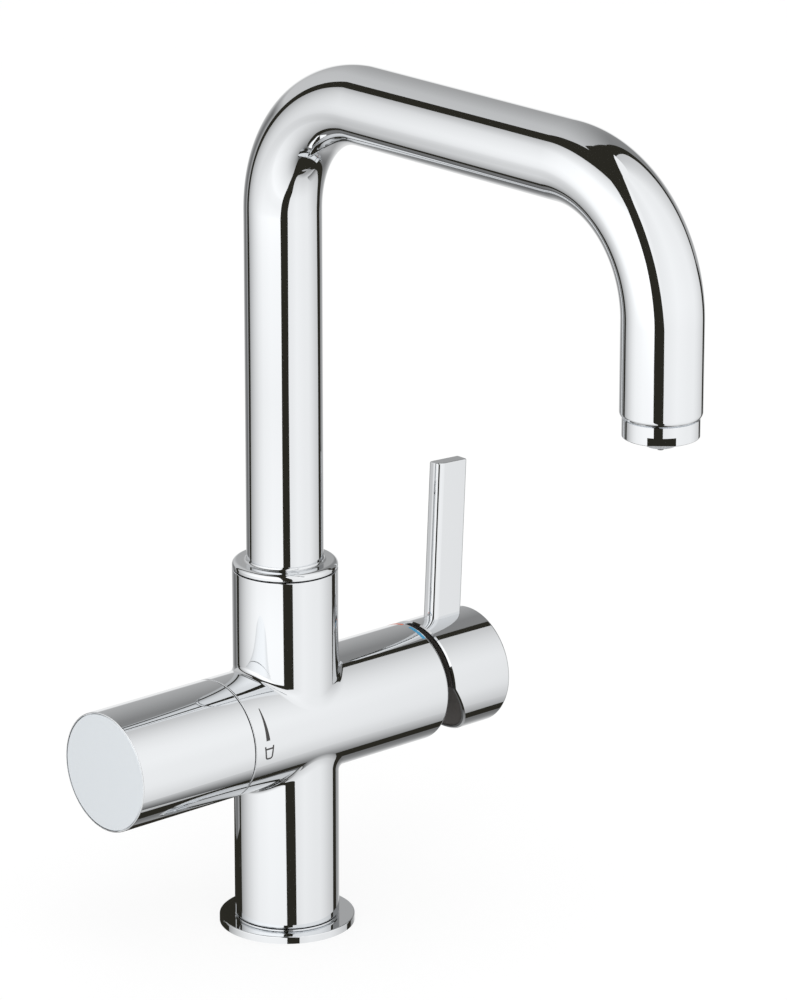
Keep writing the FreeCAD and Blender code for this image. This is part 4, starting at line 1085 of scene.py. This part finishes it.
def floorMaterial():
    # Matt white paper; most of what the camera sees of it is plain white, so its shadow stays faint.
    material, tree, shader, place = startMaterial("whitePaper", "#FFFFFF", 0.0, 0.9)
    shader.inputs["Specular IOR Level"].default_value = 0.0
    seen = addNode(tree, "LightPath").outputs["Is Camera Ray"]
    share = addNode(tree, "Math", {"operation": "MULTIPLY", 1: paperFloor["plainShare"]}, {0: seen})
    white = addNode(tree, "Emission", {"Strength": 1.0})
    shaders = {0: share.outputs[0], 1: shader.outputs["BSDF"], 2: white.outputs["Emission"]}
    mix = addNode(tree, "MixShader", {}, shaders)
    tree.links.new(mix.outputs["Shader"], tree.nodes["Material Output"].inputs["Surface"])
    return material


half = paperFloor["half"]
floorCorners = [(-half, -half, 0), (half, -half, 0), (half, half, 0), (-half, half, 0)]
floor = onStage("floor", floorCorners, [(0, 1, 2, 3)], floorMaterial())
floor.visible_glossy = False


def rampStops(stops, span):
    # stops given in real units as places between 0 and 1
    return [((place - span[0]) / (span[1] - span[0]), level) for place, level in stops]


def startGlow(name, colour, level):
    # cloth or card that gives off an even light
    material = bpy.data.materials.new(name)
    material.use_nodes = True
    tree = material.node_tree
    tree.nodes.clear()
    light = addNode(tree, "Emission", {"Color": linearColour(colour), "Strength": level})
    addNode(tree, "OutputMaterial", {}, {"Surface": light.outputs["Emission"]})
    material.cycles.emission_sampling = "NONE"
    return material, tree, light


def panelCloth(name, levels):
    # lit diffuser cloth: its level changes with the place across (U) and up (V) the panel
    material, tree, light = startGlow(name, "#FFFFFF", 1.0)
    place = addNode(tree, "UVMap", {"uv_map": "panelPlace"})
    split = addNode(tree, "SeparateXYZ", {}, {"Vector": place.outputs["UV"]})
    acrossStops = rampStops(litPanels["across"], litPanels["span"])
    uprightStops = rampStops(levels, litPanels["heights"])
    across = addNode(tree, "ValToRGB", {"stops": acrossStops}, {"Fac": split.outputs["X"]})
    upright = addNode(tree, "ValToRGB", {"stops": uprightStops}, {"Fac": split.outputs["Y"]})
    both = {0: across.outputs["Color"], 1: upright.outputs["Color"]}
    level = addNode(tree, "Math", {"operation": "MULTIPLY"}, both)
    tree.links.new(level.outputs[0], light.inputs["Strength"])
    return material


def onlyInMirrors(prop):
    prop.visible_camera = False
    prop.visible_diffuse = False
    prop.visible_shadow = False


def addPanel(name, edges, radius, material):
    # part of an upright cylinder about the tap: at each height it runs from its left to its right edge
    height, left, right = np.array(edges, float).T
    rows = np.linspace(height[0], height[-1], litPanels["rows"] + 1)
    share = np.linspace(0, 1, litPanels["columns"] + 1)
    leftTurn, rightTurn = np.interp(rows, height, left)[:, None], np.interp(rows, height, right)[:, None]
    turn = leftTurn * (1 - share) + rightTurn * share
    level = np.broadcast_to(rows[:, None], turn.shape)
    ray = turning(towardsCamera + turn * deg, xAxis, yAxis)
    points = (radius * ray + level[..., None] * zAxis).reshape(-1, 3) * mm
    index = np.arange(turn.size).reshape(turn.shape)
    quads = np.stack([index[:-1, :-1], index[:-1, 1:], index[1:, 1:], index[1:, :-1]], axis=-1)
    quads = quads.reshape(-1, 4)
    panel = onStage(name, points.tolist(), quads.tolist(), material)
    (start, end), (low, high) = litPanels["span"], litPanels["heights"]
    places = np.stack([(turn - start) / (end - start), (level - low) / (high - low)], axis=-1)
    places = places.reshape(-1, 2)
    panel.data.uv_layers.new(name="panelPlace").data.foreach_set("uv", places[quads.ravel()].ravel())
    onlyInMirrors(panel)


def addCard(name, corners, material):
    # a flat card given by corners right of the tap, behind it and up, in mm
    right, behind, up = np.array(corners, float).T[..., None] * mm
    points = right * cameraRight + behind * cameraBack + up * zAxis
    onlyInMirrors(onStage(name, points.tolist(), [tuple(range(len(points)))], material))


for side in ("left", "right"):
    cloth = panelCloth(side + "Cloth", litPanels[side + "Levels"])
    addPanel(side + "Panel", litPanels[side], litPanels["radius"], cloth)
black = startGlow("blackCloth", backing["colour"], backing["level"])[0]
addPanel("backing", backing["edges"], backing["radius"], black)
shade = panelCloth("shadeCloth", litPanels["shadeLevels"])
addPanel("rightShade", litPanels["shade"], litPanels["shadeRadius"], shade)
for name, (behind, corners) in uprightCards.items():
    addCard(name, [(right, behind, up) for right, up in corners], black)
for name, (height, level, corners) in levelCards.items():
    colour = backing["colour"] if level == backing["level"] else "#FFFFFF"
    addCard(name, [(*corner, height) for corner in corners], startGlow(name, colour, level)[0])


def addSurroundings():
    # The camera sees plain white. Mirrors see the studio round the panels: white low behind the tap,
    # dimmer to the sides and far below, and grey above, paler to the camera's left.
    world = bpy.data.worlds.new("studio")
    scene.world = world
    world.use_nodes = True
    tree = world.node_tree
    tree.nodes.clear()
    place = addNode(tree, "TexCoord").outputs["Generated"]
    up = addNode(tree, "SeparateXYZ", {}, {"Vector": place}).outputs["Z"]
    dot = {"operation": "DOT_PRODUCT"}
    sideways = addNode(tree, "VectorMath", {**dot, 1: cameraRight}, {0: place}).outputs["Value"]
    inward = addNode(tree, "VectorMath", {**dot, 1: cameraBack}, {0: place}).outputs["Value"]
    turn = addNode(tree, "Math", {"operation": "ARCTAN2"}, {0: sideways, 1: inward}).outputs[0]
    levels = {}
    for name, value, unit in (("low", up, 1), ("behind", turn, deg), ("high", sideways, 1)):
        span, stops = surroundings[name]
        between = {"From Min": span[0] * unit, "From Max": span[1] * unit}
        share = addNode(tree, "MapRange", between, {"Value": value}).outputs["Result"]
        ramp = addNode(tree, "ValToRGB", {"stops": rampStops(stops, span)}, {"Fac": share})
        levels[name] = ramp.outputs["Color"]
    both = {0: levels["low"], 1: levels["behind"]}
    low = addNode(tree, "Math", {"operation": "MULTIPLY"}, both).outputs[0]
    start, end = surroundings["horizon"]
    above = addNode(tree, "MapRange", {"From Min": start, "From Max": end}, {"Value": up}).outputs["Result"]
    both = {"Factor": above, 6: low, 7: levels["high"]}
    mixed = addNode(tree, "Mix", {"data_type": "RGBA"}, both).outputs[2]
    mirrored = addNode(tree, "LightPath").outputs["Is Glossy Ray"]
    white = addNode(tree, "Background", {"Color": (1, 1, 1, 1), "Strength": 1.0}).outputs["Background"]
    studio = addNode(tree, "Background", {"Strength": 1.0}, {"Color": mixed}).outputs["Background"]
    mix = addNode(tree, "MixShader", {}, {0: mirrored, 1: white, 2: studio})
    addNode(tree, "OutputWorld", {}, {"Surface": mix.outputs["Shader"]})


addSurroundings()

keyLamp = {"place": (-600, -900, 1500), "aim": (0, 0, 150), "size": 900, "power": 4.0}  # mm, mm, mm, watts
lampData = bpy.data.lights.new("keyLamp", "AREA")
lampData.size = keyLamp["size"] * mm
lampData.energy = keyLamp["power"]
lamp = bpy.data.objects.new("keyLamp", lampData)
lamp.location = np.array(keyLamp["place"]) * mm
aim = np.array(keyLamp["aim"]) - np.array(keyLamp["place"])
tilt = np.arccos(aim[2] / np.linalg.norm(aim)) - np.pi
lamp.rotation_euler = (tilt, 0, np.arctan2(aim[1], aim[0]) + quarter)
lamp.visible_glossy = False
scene.collection.objects.link(lamp)
scene.view_settings.view_transform = "Standard"
print("studio lit")
